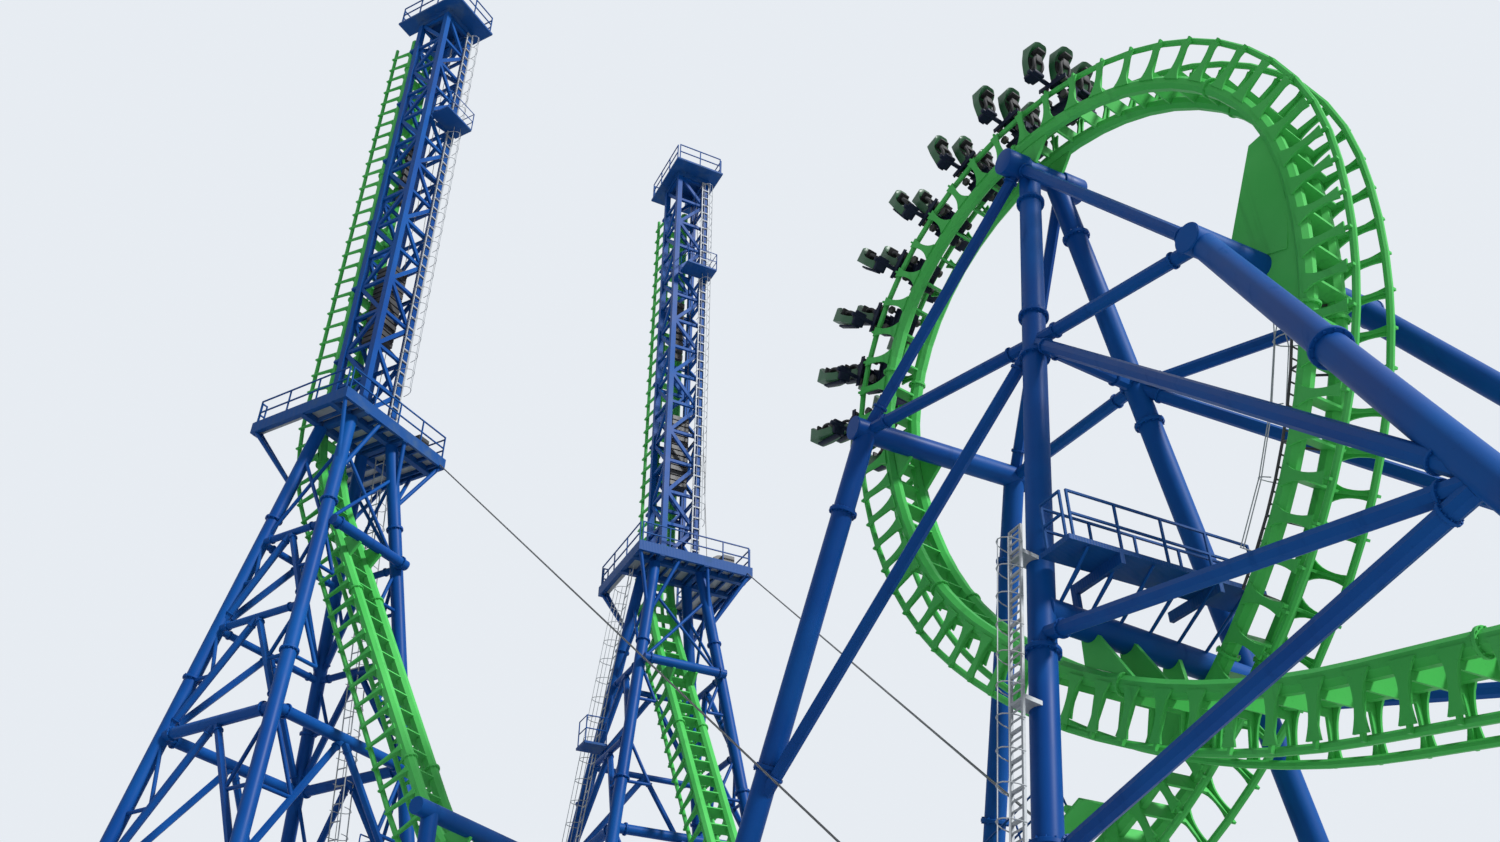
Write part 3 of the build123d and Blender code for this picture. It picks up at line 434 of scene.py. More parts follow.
# %% [markdown]
# Every tie has two arms that are waisted plates, wide on the spine and on the rail. They
# give the track its toothed edge. One arm is a small flat sheet, extruded in eight steps
# and scaled at each, so it has only 34 faces, and it is copied to all ties.


# %% Waisted arms on every tie
ARM_WIDTHS = (0.0250, 0.0175, 0.0125, 0.0100, 0.0088, 0.0088, 0.0098, 0.0122, 0.0155)
ARM_FOOT = (0, 0.0725, 0.002)
ARM_STEP = (0, 0.00056, 0.0131)
ARM_THICK = 0.005
TOWER_ARM_SHARE = 0.45
TOWER_ARM_TOP = 3.1


def drawn_up(sizes, foot, step):
    """A flat sheet at the foot, extruded one step for each further size and closed all round."""
    clear_selection()
    bpy.ops.mesh.primitive_plane_add(size=1)
    bpy.ops.object.mode_set(mode="EDIT")
    bpy.ops.transform.resize(value=(*sizes[0], 1), center_override=(0, 0, 0))
    bpy.ops.transform.translate(value=foot)
    middle = Vector(foot)
    for below, above in zip(sizes[:-1], sizes[1:]):
        middle += Vector(step)
        bpy.ops.mesh.extrude_region_move(TRANSFORM_OT_translate={"value": step})
        grow = (above[0] / below[0], above[1] / below[1], 1)
        bpy.ops.transform.resize(value=grow, center_override=middle)
    bpy.ops.mesh.select_all(action="SELECT")
    bpy.ops.mesh.normals_make_consistent(inside=False)
    bpy.ops.object.mode_set(mode="OBJECT")
    return active()


def arm_source(share_wide):
    drawn_up([(2 * wide * share_wide, ARM_THICK) for wide in ARM_WIDTHS], ARM_FOOT, ARM_STEP)
    return finish_source("arm")


def mirrored(place):
    return place @ Matrix.Rotation(math.pi, 4, "Z")


arm = arm_source(1.0)
slim_arm = arm_source(TOWER_ARM_SHARE)
arm_places = []
for place in LOOP_TIES:
    arm_places += [place, mirrored(place)]
copies(arm, "loop_tie_arms", arm_places, "track_green")
for tower, ties in TOWER_TIES.items():
    arm_places = []
    for place in ties:
        if place.translation.z < TOWER_ARM_TOP:
            arm_places += [place, mirrored(place)]
    copies(slim_arm, tower + "_tie_arms", arm_places, "track_green")
drop(arm, slim_arm)

# %% [markdown]
# Long columns are shipped in lengths and bolted together. A joint is one thick flange ring
# with a circle of bolts through it, which is modelled once for a tube of radius one.


# %% A bolted flange joint
FLANGE_R, FLANGE_DEPTH = 1.30, 0.34
BOLTS = 12
BOLT_CIRCLE = 1.16
BOLT_R, BOLT_DEPTH = 0.075, 0.62


def flange_source():
    clear_selection()
    bpy.ops.mesh.primitive_cylinder_add(vertices=24, radius=FLANGE_R, depth=FLANGE_DEPTH)
    parts = [finish_source("ring", 0.04)]
    for i in range(BOLTS):
        angle = 2 * math.pi * i / BOLTS
        spot = (BOLT_CIRCLE * math.cos(angle), BOLT_CIRCLE * math.sin(angle), 0)
        clear_selection()
        bpy.ops.mesh.primitive_cylinder_add(vertices=6, radius=BOLT_R, depth=BOLT_DEPTH, location=spot)
        parts.append(active())
    select_only(parts)
    bpy.ops.object.join()
    bpy.ops.object.transform_apply()
    return active()


def joints_on(start, end, radius, shares):
    """Places along a tube at shares of its length, scaled to the tube."""
    start, end = Vector(start), Vector(end)
    return [sized(frame_along(start.lerp(end, share), end - start), radius, radius, radius)
            for share in shares]


def both_ends(start, end, radius, inset):
    """A place near each end of a tube, scaled to the tube."""
    way = (end - start).normalized()
    return [sized(frame_along(spot, way), radius, radius, radius)
            for spot in (start + way * inset, end - way * inset)]


NEAR_FOOT = (0, 0, 0.01)
NEAR_TOP = (-0.145, 0.5125, 2.952)
FAR_FOOT = (-0.12, 1.16, 0.01)
FAR_TOP = (-0.145, 0.6025, 2.952)
COLUMN_R = 0.030
SHORTEST_TUBE = 0.3
LEVEL_SLOPE = 0.2
flange = flange_source()
joints = joints_on(NEAR_FOOT, NEAR_TOP, COLUMN_R, (0.17, 0.31, 0.45, 0.74, 0.79, 0.95))
joints += joints_on(FAR_FOOT, FAR_TOP, COLUMN_R, (0.30, 0.72, 0.76, 0.93))
copies(flange, "main_column_joints", joints, "steel_blue")
collars = []
for brace in BRACES:
    collars += both_ends(*brace, 0.050)
copies(flange, "brace_joints", collars, "steel_blue")
leg_joints = []
cap_places = []
for node in ("left_trestle", "right_bent", "main_crossbeams", "entry_bent", "exit_bent", "stub_bent"):
    for solid in solids_of(node):
        start, end, radius = tube_of(*solid)
        if (end - start).length < SHORTEST_TUBE:
            continue
        if abs((end - start).normalized().z) < LEVEL_SLOPE:
            cap_places += both_ends(start, end, radius, 0.004)
        else:
            leg_joints += joints_on(start, end, radius, (0.28, 0.60, 0.90))
copies(flange, "outer_leg_joints", leg_joints, "steel_blue")

# %% [markdown]
# The cross tubes end in round plates a little wider than the tube, welded all round.

# %% End plates on the cross tubes
cap = round_source(1.07, 0.16, 0.05, 32)
copies(cap, "cross_tube_ends", cap_places, "steel_blue")
stub = round_source(0.039, 0.075, 0.003, 32)
apex_ends = [frame_along((-0.145, y, 2.952), (0, 1, 0)) for y in (0.455, 0.655)]
copies(stub, "apex_tube_ends", apex_ends, "steel_blue")
drop(cap, stub)

# %% [markdown]
# The four legs of each tower meet their upper lengths at bolted joints too, and the
# tower's smaller braces have short collars where they reach the legs.

# %% Flanges on the tower legs and braces
TOWER_PLACES = {}
for tower, yaw in (("tower_a", math.radians(34.0)), ("tower_b", 0.0)):
    low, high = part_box(tower + "_legs")
    middle = (low + high) / 2
    TOWER_PLACES[tower] = Matrix.Translation((middle.x, middle.y, 0)) @ Matrix.Rotation(yaw, 4, "Z")
    joints = []
    for solid in solids_of(tower + "_legs"):
        start, end, radius = tube_of(*solid)
        if (end - start).length > 1.0:
            joints += joints_on(start, end, radius, (0.12, 0.34, 0.65, 0.86))
    copies(flange, tower + "_leg_joints", joints, "steel_blue")
    joints = []
    for solid in solids_of(tower + "_leg_bracing"):
        start, end, radius = tube_of(*solid)
        if (end - start).length > 0.12:
            joints += both_ends(start, end, radius, 0.030)
    copies(flange, tower + "_brace_collars", joints, "steel_blue")

# %% [markdown]
# The spine tubes are bolted end to end every few ties, so each ninth tie frame carries a
# pair of small flange joints.

# %% Flanges on the spine tubes
SPINE_HALF = 0.052
SPINE_R = 0.020
QUARTER = Matrix.Rotation(math.pi / 2, 4, "Y")


def spine_joints(ties, step):
    made = []
    for place in ties[2::step]:
        for side in (-1, 1):
            spot = place @ Matrix.Translation((0.043, side * SPINE_HALF, 0)) @ QUARTER
            made.append(sized(spot, SPINE_R, SPINE_R, SPINE_R))
    return made


copies(flange, "loop_spine_joints", spine_joints(LOOP_TIES, 9), "track_green")
for tower, ties in TOWER_TIES.items():
    copies(flange, tower + "_spine_joints", spine_joints(ties, 9), "track_green")
drop(flange)

# %% [markdown]
# Inside the loop at its right, two flat gusset plates join the spine tubes to the bent's
# cross tube. Each is cut from a round plate, as in a workshop: three bisect cuts leave the
# piece between the arc and a straight inner edge, and a Solidify modifier thickens it.

# %% Gusset plates inside the loop
LOOP_CENTRE = Vector((-0.13, 0.56, 2.38))
LOOP_R = 0.67
YAW = math.asin(0.12 / LOOP_R)
ACROSS = Vector((-math.sin(YAW), math.cos(YAW), 0))
LEVEL = Vector((math.cos(YAW), math.sin(YAW), 0))


def ring_out(angle):
    a = math.radians(angle)
    return LEVEL * math.cos(a) + Vector((0, 0, math.sin(a)))


GUSSET_R = 0.652
GUSSET_ASIDE = 0.0535
GUSSET_THICK = 0.005
GUSSET_ENDS = (-20.0, 11.0)
GUSSET_INNER = (Vector((0.475, 0, -0.155)), Vector((0.600, 0, 0.110)))


def in_loop(spot):
    """A vector in the loop's own plane, turned to the frame's axes."""
    return LEVEL * spot.x + Vector((0, 0, spot.z))


def gusset(side):
    """A round plate in the loop's plane, cut along the inner edge and at both ends."""
    clear_selection()
    centre = LOOP_CENTRE + ACROSS * side * GUSSET_ASIDE
    turn = ACROSS.to_track_quat("Z", "Y").to_euler()
    bpy.ops.mesh.primitive_circle_add(vertices=144, radius=GUSSET_R, fill_type="NGON",
                                      location=centre, rotation=turn)
    bpy.ops.object.transform_apply()
    edge = GUSSET_INNER[1] - GUSSET_INNER[0]
    cuts = [(centre + in_loop(GUSSET_INNER[0]), in_loop(Vector((-edge.z, 0, edge.x))))]
    for angle, sense in zip(GUSSET_ENDS, (-1, 1)):
        cuts.append((centre, ring_out(angle + 90) * sense))
    bpy.ops.object.mode_set(mode="EDIT")
    for spot, away in cuts:
        bpy.ops.mesh.select_all(action="SELECT")
        bpy.ops.mesh.bisect(plane_co=spot, plane_no=away, clear_outer=True)
    bpy.ops.object.mode_set(mode="OBJECT")
    thick = active().modifiers.new("thick", "SOLIDIFY")
    thick.thickness = GUSSET_THICK
    thick.offset = 0
    bpy.ops.object.modifier_apply(modifier="thick")
    return finish_source("gusset", 0.001)


plates = [gusset(-1), gusset(1)]
select_only(plates)
bpy.ops.object.join()
keep(active(), "loop_gussets", "track_green")

# %% [markdown]
# Access matters on a ride. A ladder with dark rungs follows the climbing leg's inner side.
# It hangs from the ties, so each of its points is given in a tie's own frame.


# %% Ladder along the climbing leg
HALF_CIRCLE = [math.pi * i / 8 for i in range(9)]
SPAR_ANGLES = (math.pi * 0.25, math.pi * 0.5, math.pi * 0.75)
RUNG_HALF = 0.022
CLIMB_OUT = -0.062
CLIMB_CAGE = (0.036, 0.058)


def beside(place, across, out):
    return place @ Vector((0, across, out))


def ordered(ties, chosen, axis):
    """The ties whose places pass a test, in their order along an axis of the frame."""
    return sorted([tie for tie in ties if chosen(tie.translation)], key=lambda tie: tie.translation[axis])


def on_climb_cage(place, angle):
    half, deep = CLIMB_CAGE
    return beside(place, half * math.cos(angle), CLIMB_OUT - deep * math.sin(angle))


climb = ordered(LOOP_TIES, lambda t: t.x > 0.12 and t.y > 0.60 and 1.15 < t.z < 2.16, 2)
stringers = []
rungs = []
posts = []
for side in (-RUNG_HALF, RUNG_HALF):
    stringers.append([beside(place, side, CLIMB_OUT) for place in climb])
for lower, upper in zip(climb[:-1], climb[1:]):
    for step in range(3):
        rungs.append([beside(lower, side, CLIMB_OUT).lerp(beside(upper, side, CLIMB_OUT), step / 3)
                      for side in (-RUNG_HALF, RUNG_HALF)])
for place in climb[::2]:
    for side in (-1, 1):
        posts.append([beside(place, side * RUNG_HALF, CLIMB_OUT), beside(place, side * 0.045, -0.012)])
rods("climb_ladder_stringers", stringers, 0.0034, "winch_dark")
rods("climb_ladder_rungs", rungs, 0.0022, "winch_dark")
rods("climb_ladder_brackets", posts, 0.0030, "winch_dark")
hoops = [[on_climb_cage(place, angle) for angle in HALF_CIRCLE] for place in climb[1::2]]
spars = [[on_climb_cage(place, angle) for place in climb[1::2]] for angle in SPAR_ANGLES]
rods("climb_ladder_cage", hoops + spars, 0.0014, "galvanised")

# %% [markdown]
# The ladder beside the near column has every third rung in the frame. Two rungs are added
# between each pair, and a cage of half hoops stands outside it, away from the column.


# %% Close rungs and a cage on the ladder beside the near column
column_way = (Vector(NEAR_TOP) - Vector(NEAR_FOOT)).normalized()
ladder_out = Vector((1, 0, 0)).cross(column_way).normalized()
ladder_side = column_way.cross(ladder_out).normalized()
LADDER_STAND = 0.065
LADDER_LOW = 0.04
LADDER_HIGH = 1.62
FRAME_RUNGS = 26
RUNG_LIFT = 0.003
COLUMN_CAGE = (0.026, 0.046)
CAGE_LOW, CAGE_HIGH = 0.24, 1.57


def on_ladder(height, side, out):
    foot = Vector(NEAR_FOOT) + column_way * ((height - NEAR_FOOT[2]) / column_way.z)
    return foot + ladder_out * (LADDER_STAND + out) + ladder_side * side


def on_column_cage(height, angle):
    half, deep = COLUMN_CAGE
    return on_ladder(height, half * math.cos(angle), deep * math.sin(angle))


close_rungs = []
for i in range(FRAME_RUNGS * 3):
    if i % 3:
        height = LADDER_LOW + (LADDER_HIGH - LADDER_LOW) * i / (FRAME_RUNGS * 3) + RUNG_LIFT
        close_rungs.append([on_ladder(height, side, 0) for side in (-0.017, 0.017)])
rods("column_ladder_rungs", close_rungs, 0.0022, "galvanised")
hoops = [[on_column_cage(CAGE_LOW + 0.070 * i, angle) for angle in HALF_CIRCLE] for i in range(20)]
spars = [[on_column_cage(height, angle) for height in (CAGE_LOW, CAGE_HIGH)] for angle in SPAR_ANGLES]
rods("column_ladder_cage", hoops + spars, 0.0013, "galvanised")

# %% [markdown]
# The service walk stands on the lower crossbeam. Pairs of thin struts rise from the beam's
# axis, which is read from the frame, to the outer edge and to the middle of the deck.

# %% Struts from the lower crossbeam to the service walk
walk_low, walk_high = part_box("walkway")
beams = [tube_of(*solid) for solid in solids_of("main_crossbeams")]
beam_start, beam_end = min(beams, key=lambda beam: beam[0].z)[:2]
deck_under = walk_high.z - 0.012
beam_struts = []
for share in (0.10, 0.26, 0.42, 0.58, 0.74, 0.90):
    y = walk_low.y + (walk_high.y - walk_low.y) * share
    foot = beam_start.lerp(beam_end, (y - beam_start.y) / (beam_end.y - beam_start.y))
    for x, ahead in ((walk_high.x - 0.008, 0.0), (walk_high.x - 0.085, 0.040)):
        beam_struts.append([foot, Vector((x, y + ahead, deck_under))])
rods("walkway_struts", beam_struts, 0.0036, "steel_blue", sides=2)

# %% [markdown]
# A grating walk with a handrail lies beside the run into the loop, on arms from the ties.

# %% Walk beside the run into the loop
WALK_AT = (0, 0.135, -0.024)
WALK_SIZE = (0.094, 0.085, 0.006)
WALK_ARM_AT = (0, 0.085, -0.034)
WALK_ARM_SIZE = (0.012, 0.190, 0.014)
WALK_EDGE = 0.172
walk = ordered(LOOP_TIES, lambda t: t.x < 0.16 and t.y > 0.6 and t.z < 1.15, 0)
cube = cube_source(0.02)
grate = [sized(place @ Matrix.Translation(WALK_AT), *WALK_SIZE) for place in walk]
arms = [sized(place @ Matrix.Translation(WALK_ARM_AT), *WALK_ARM_SIZE) for place in walk[::2]]
copies(cube, "run_in_walk", grate, "track_green")
copies(cube, "run_in_walk_arms", arms, "track_green")
rails = [[beside(place, WALK_EDGE, -0.024 - height) for place in walk] for height in (0.065, 0.115)]
for place in walk[::2]:
    rails.append([beside(place, WALK_EDGE, -0.024), beside(place, WALK_EDGE, -0.139)])
rods("run_in_walk_rail", rails, 0.0026, "railing_blue")

# %% [markdown]
# The towers carry most of the small steelwork. Every piece is given in the tower's own
# axes, e away from the track and w across it, and the tower's matrix puts it in place.


# %% Helpers for the towers
MID = 3.17
TOP = 5.72


def in_place(place, lines):
    return [[place @ Vector(point) for point in line] for line in lines]


def boxes_in_place(place, name, boxes, slot):
    copies(cube, name, [place @ box for box in boxes], slot)


def handrail(corners, level, height=0.11):
    """Lines for the posts and two rails round a small deck."""
    lines = []
    for share in (0.5, 1.0):
        lines.append([Vector((e, w, level + height * share)) for e, w in corners])
    for e, w in corners:
        lines.append([Vector((e, w, level)), Vector((e, w, level + height))])
    return lines


# %% [markdown]
# The winch deck is a U round the slot that the track passes through. A pale grating and
# joists lie under it, a rim edges it, and struts rise to it from near the legs' heads.


# %% Grating, joists and struts of the winch decks
DECK_LOW, DECK_HIGH = (-0.340, -0.220), (0.150, 0.340)
SLOT_FRONT = -0.100
SLOT_HALF = 0.174
GRATE = (MID - 0.0160, MID - 0.0122)
RIM = (MID - 0.040, MID + 0.010)
RIM_OUT = ((-0.3463, -0.2263), (0.1563, 0.3463))
RIM_IN = ((-0.334, -0.212), (0.1440, 0.332))
RIM_SLOT = 0.172
JOISTS = 10
STRUT_DROP = 0.33
STRUT_R = 0.0085
HEAD_E, HEAD_W = 0.112, 0.150
STRUTS = ((1, -1, 0.140, -0.212), (1, 1, 0.140, 0.330), (-1, -1, -0.325, -0.212), (-1, 1, -0.325, 0.330),
          (1, 1, -0.010, 0.330), (-1, 1, -0.150, 0.330), (1, 1, 0.140, 0.120), (1, -1, 0.140, -0.020),
          (-1, -1, -0.325, -0.185), (-1, 1, -0.325, 0.190))


def box_between(low, high, levels):
    return placed((*low, levels[0]), (*high, levels[1]))


def deck_grating():
    return [box_between((SLOT_FRONT, DECK_LOW[1]), DECK_HIGH, GRATE),
            box_between(DECK_LOW, (SLOT_FRONT, -SLOT_HALF), GRATE),
            box_between((DECK_LOW[0], SLOT_HALF), (SLOT_FRONT, DECK_HIGH[1]), GRATE)]


def deck_joists():
    """Joists across the deck, cut short at the slot, and the five lengths of the rim."""
    boxes = []
    for i in range(JOISTS):
        w = -0.205 + 0.058 * i
        start = -0.335 if abs(w) > 0.18 else -0.095
        boxes.append(placed((start, w - 0.004, MID - 0.034), (0.147, w + 0.004, MID - 0.012)))
    (out_back, out_near), (out_front, out_wide) = RIM_OUT
    (in_back, in_near), (in_front, in_wide) = RIM_IN
    for low_w, high_w in ((in_near, -RIM_SLOT), (RIM_SLOT, in_wide)):
        boxes.append(box_between((out_back, low_w), (in_back, high_w), RIM))
    boxes.append(box_between((in_front, in_near), (out_front, in_wide), RIM))
    boxes.append(box_between((out_back, out_near), (out_front, in_near), RIM))
    boxes.append(box_between((out_back, in_wide), (out_front, out_wide), RIM))
    return boxes


struts = [[(e * HEAD_E, w * HEAD_W, MID - STRUT_DROP), (rim_e, rim_w, MID - 0.036)]
          for e, w, rim_e, rim_w in STRUTS]
for tower, place in TOWER_PLACES.items():
    boxes_in_place(place, tower + "_deck_grating", deck_grating(), "galvanised")
    boxes_in_place(place, tower + "_deck_joists", deck_joists(), "deck_blue")
    rods(tower + "_deck_struts", in_place(place, struts), STRUT_R, "steel_blue", sides=2)

# %% [markdown]
# Short ties hold the long diagonals at their middles, on the three sides that the track
# does not pass. The legs are straight, so a point on one comes from its two ends.


# %% Fine bracing between the legs
LEG_FOOT_Z, LEG_HEAD_Z = 0.01, 3.16
LEG_FOOT = (0.490, 0.560)
LEG_HEAD = (0.075, 0.110)
LEVELS = (0.01, 0.70, 1.30, 1.83, 2.23, 2.59, 2.98)
SIDES = (((1, -1), (1, 1)), ((1, 1), (-1, 1)), ((-1, -1), (1, -1)))


def leg_at(e, w, z):
    """A point on a leg's axis, by the leg's two signs and a height."""
    share = (z - LEG_FOOT_Z) / (LEG_HEAD_Z - LEG_FOOT_Z)
    return Vector((e * (LEG_FOOT[0] + (LEG_HEAD[0] - LEG_FOOT[0]) * share),
                   w * (LEG_FOOT[1] + (LEG_HEAD[1] - LEG_FOOT[1]) * share), z))


def side_bracing(one, two):
    """Ties from each long diagonal to its leg, and a cross under the deck, on one side."""
    lines = []
    for low, high in zip(LEVELS[:5], LEVELS[1:6]):
        apex = (leg_at(*one, high) + leg_at(*two, high)) / 2
        for corner in (one, two):
            middle = (apex + leg_at(*corner, low)) / 2
            lines.append([middle, leg_at(*corner, (low + high) / 2)])
            lines.append([middle, leg_at(*corner, high)])
    lines.append([leg_at(*one, LEVELS[5]), leg_at(*two, LEVELS[6])])
    lines.append([leg_at(*two, LEVELS[5]), leg_at(*one, LEVELS[6])])
    return lines


bracing = [line for one, two in SIDES for line in side_bracing(one, two)]
for tower, place in TOWER_PLACES.items():
    rods(tower + "_fine_bracing", in_place(place, bracing), 0.0070, "steel_blue", sides=2)

# %% [markdown]
# The mast's ladder needs a cage: half hoops at an even step, joined by three upright spars.


# %% Cage round the mast's ladder
MAST_CAGE_AT = (0.098, 0.075)
MAST_CAGE = (0.034, 0.062)
MAST_CAGE_LOW, MAST_CAGE_HIGH = MID + 0.20, MID + 2.45


def on_mast_cage(angle, z):
    half, deep = MAST_CAGE
    return (MAST_CAGE_AT[0] + deep * math.sin(angle), MAST_CAGE_AT[1] + half * math.cos(angle), z)


hoops = [[on_mast_cage(angle, MAST_CAGE_LOW + i * 0.090) for angle in HALF_CIRCLE] for i in range(26)]
spars = [[on_mast_cage(angle, z) for z in (MAST_CAGE_LOW, MAST_CAGE_HIGH)] for angle in SPAR_ANGLES]
for tower, place in TOWER_PLACES.items():
    rods(tower + "_mast_cage", in_place(place, hoops + spars), 0.0014, "galvanised")

# %% [markdown]
# A caged ladder leans beside the legs, with two small landings, and a third landing hangs
# on the mast. Its foot is inside the legs on the first tower, and outside on the second.


# %% Landings and leg ladders
LADDER_SIDE = {"tower_a": 0.72, "tower_b": -1}
LEG_LADDER_FOOT, LEG_LADDER_HEAD = (0.580, 0.05), (0.195, 3.12)
LEG_LADDER_RUNGS = 50
LEG_CAGE = (0.034, 0.060)
MAST_LANDING = ((0.096, -0.060), (0.196, 0.112), (4.930, 4.940))
LEG_LANDINGS = ((0.300, 0.400, 2.20), (0.390, 0.500, 1.50))
LANDING_THICK = 0.01


def landing_floors(side):
    floors = [box_between(*MAST_LANDING)]
    for near, far, level in LEG_LANDINGS:
        low_w, high_w = sorted((side * near, side * far))
        floors.append(box_between((0.02, low_w), (0.12, high_w), (level, level + LANDING_THICK)))
    return floors


def landing_rails(side):
    lines = handrail([(0.098, -0.058), (0.194, -0.058), (0.194, 0.110), (0.098, 0.110)], MAST_LANDING[2][1])
    for far, near, level in ((0.395, 0.305, 2.21), (0.495, 0.395, 1.51)):
        lines += handrail([(0.03, side * far), (0.115, side * far), (0.115, side * near)], level)
    return lines


def on_leg_ladder(side, share):
    """The ladder's w and z at a share of its height."""
    (foot_w, foot_z), (head_w, head_z) = LEG_LADDER_FOOT, LEG_LADDER_HEAD
    return side * (foot_w + (head_w - foot_w) * share), foot_z + (head_z - foot_z) * share


def leg_ladder(side):
    lines = [[(e, *on_leg_ladder(side, 0)), (e, *on_leg_ladder(side, 1))] for e in (-RUNG_HALF, RUNG_HALF)]
    for i in range(LEG_LADDER_RUNGS):
        w, z = on_leg_ladder(side, (i + 0.5) / LEG_LADDER_RUNGS)
        lines.append([(-RUNG_HALF, w, z), (RUNG_HALF, w, z)])
    return lines


def on_leg_cage(side, share, angle):
    half, deep = LEG_CAGE
    w, z = on_leg_ladder(side, share)
    return half * math.cos(angle), w + math.copysign(deep, side) * math.sin(angle), z


def leg_cage(side):
    hoops = [[on_leg_cage(side, 0.10 + 0.86 * i / 29, angle) for angle in HALF_CIRCLE] for i in range(30)]
    spars = [[on_leg_cage(side, share, math.pi * a) for share in (0.10, 0.96)] for a in (0.2, 0.5, 0.8)]
    return hoops + spars


for tower, place in TOWER_PLACES.items():
    side = LADDER_SIDE[tower]
    boxes_in_place(place, tower + "_landings", landing_floors(side), "deck_blue")
    rods(tower + "_landing_rails", in_place(place, landing_rails(side)), 0.0026, "railing_blue")
    rods(tower + "_leg_ladder", in_place(place, leg_ladder(side)), 0.0024, "galvanised")
    rods(tower + "_leg_cage", in_place(place, leg_cage(side)), 0.0014, "galvanised")

# %% [markdown]
# The winch's rope is wound on its drum and runs up the mast to the head sheave. A motor, a
# gearbox and the sheave's housing are dark boxes, and dark plates hang inside the mast.

# %% Winch rope, machinery and counterweight
DRUM_AT = (0.235, MID + 0.065)
DRUM_R = 0.0435
DRUM_START, DRUM_LONG = -0.072, 0.104
TURNS = 26
STEPS = 16
coil = []
for i in range(TURNS * STEPS + 1):
    a = 2 * math.pi * i / STEPS
    e = DRUM_START + DRUM_LONG * i / (TURNS * STEPS)
    coil.append((e, DRUM_AT[0] + DRUM_R * math.cos(a), DRUM_AT[1] + DRUM_R * math.sin(a)))
rope = [coil,
        [(-0.02, 0.192, MID + 0.07), (0.0, 0.060, TOP - 0.06)],
        [(0.02, 0.040, MID + 0.05), (0.02, 0.040, TOP - 0.06)]]
machines = [placed((0.058, 0.205, MID + 0.004), (0.128, 0.265, MID + 0.062)),
            placed((-0.06, 0.150, MID + 0.002), (0.0, 0.185, MID + 0.085)),
            placed((-0.045, -0.035, TOP + 0.001), (0.045, 0.055, TOP + 0.060))]
weights = []
for i in range(14):
    weights.append(placed((-0.045, -0.045, 3.60 + 0.030 * i), (0.045, 0.045, 3.624 + 0.030 * i)))
for i in range(9):
    weights.append(placed((-0.055, -0.030, 4.45 + 0.045 * i), (-0.035, 0.030, 4.48 + 0.045 * i)))
for tower, place in TOWER_PLACES.items():
    rods(tower + "_winch_rope", in_place(place, rope), 0.0016, "wire_steel")
    boxes_in_place(place, tower + "_machinery", machines, "winch_dark")
    boxes_in_place(place, tower + "_counterweight", weights, "winch_dark")

# %% [markdown]
# Anchor bolts hold every foot plate. A plate is a solid that is no thicker than a
# centimetre and touches the ground.

# %% Anchor bolts
FOOTED = ("main_columns", "left_trestle", "right_bent", "tower_a_legs", "tower_b_legs", "entry_bent",
          "exit_bent", "stub_bent", "tower_a_base_bent", "tower_b_base_bent")
PLATE_TOP = 0.0115
BOLT_IN = 0.012
clear_selection()
bpy.ops.mesh.primitive_cylinder_add(vertices=6, radius=0.004, depth=0.016)
bolt = finish_source("bolt", 0.0006)
bolts = []
for node in FOOTED:
    for points, normals in solids_of(node):
        low, high = points.min(0), points.max(0)
        if high[2] < PLATE_TOP:
            for x in (low[0] + BOLT_IN, high[0] - BOLT_IN):
                for y in (low[1] + BOLT_IN, high[1] - BOLT_IN):
                    bolts.append(Matrix.Translation((x, y, high[2] + 0.004)))
copies(bolt, "anchor_bolts", bolts, "galvanised")
drop(bolt)

# %% [markdown]
# Each seat is a moulded bucket with side wings. Its wings and pan curve in two directions,
# so one subdivided block is moved point by point by a formula, as a mould's surface is
# drawn, and then smoothed. A seat is made once in its own space and copied 32 times.


# %% The moulded seat shell
SEAT_HALF = 0.0255
SEAT_LONG = 0.096
WING_START = 0.55
PAN_START = 0.74


def seat_source():
    """Local Z runs from the headrest at zero to the seat pan; X is the way the seat faces."""
    shell = unit_cube()
    bpy.ops.object.mode_set(mode="EDIT")
    bpy.ops.mesh.subdivide(number_cuts=7)
    bpy.ops.object.mode_set(mode="OBJECT")
    for vertex in shell.data.vertices:
        x, y, z = vertex.co
        share = z + 0.5
        half = SEAT_HALF * (0.72 + 0.50 * min(1.0, share * 2.2) - 0.16 * share)
        wing = max(0.0, abs(y) * 2 - WING_START) / (1 - WING_START)
        pan = max(0.0, share - PAN_START) / (1 - PAN_START)
        back = -0.030 + 0.006 * share
        front = -0.016 + 0.018 * wing * (0.35 + 0.65 * share) * (1 - pan)
        front += 0.006 * max(0.0, 0.25 - share) * 4
        front += 0.044 * math.sqrt(pan) * (1 - 0.22 * wing)
        vertex.co = (back if x < 0 else front, 2 * y * half, 0.001 + SEAT_LONG * share)
    smooth = shell.modifiers.new("smooth", "SUBSURF")
    smooth.levels = 1
    bpy.ops.object.modifier_apply(modifier="smooth")
    return finish_source("seat")


# %% [markdown]
# Pads lie on the headrest, the back and the pan. The restraint is one foam-covered tube
# over the shoulders, made as a bevelled curve, with a pad across the chest.


# %% Pads and restraint
RESTRAINT_LINE = ((-0.008, -0.015, 0.003), (0.006, -0.016, 0.012), (0.010, -0.015, 0.046),
                  (0.011, 0, 0.054), (0.010, 0.015, 0.046), (0.006, 0.016, 0.012), (-0.008, 0.015, 0.003))
RESTRAINT_R = 0.0050


def rounded_box(low, high, bevel):
    unit_cube().data.transform(placed(low, high))
    return finish_source("pad", bevel, 2)


def joined(parts, name):
    select_only(parts)
    bpy.ops.object.join()
    piece = active()
    piece.name = name
    return piece


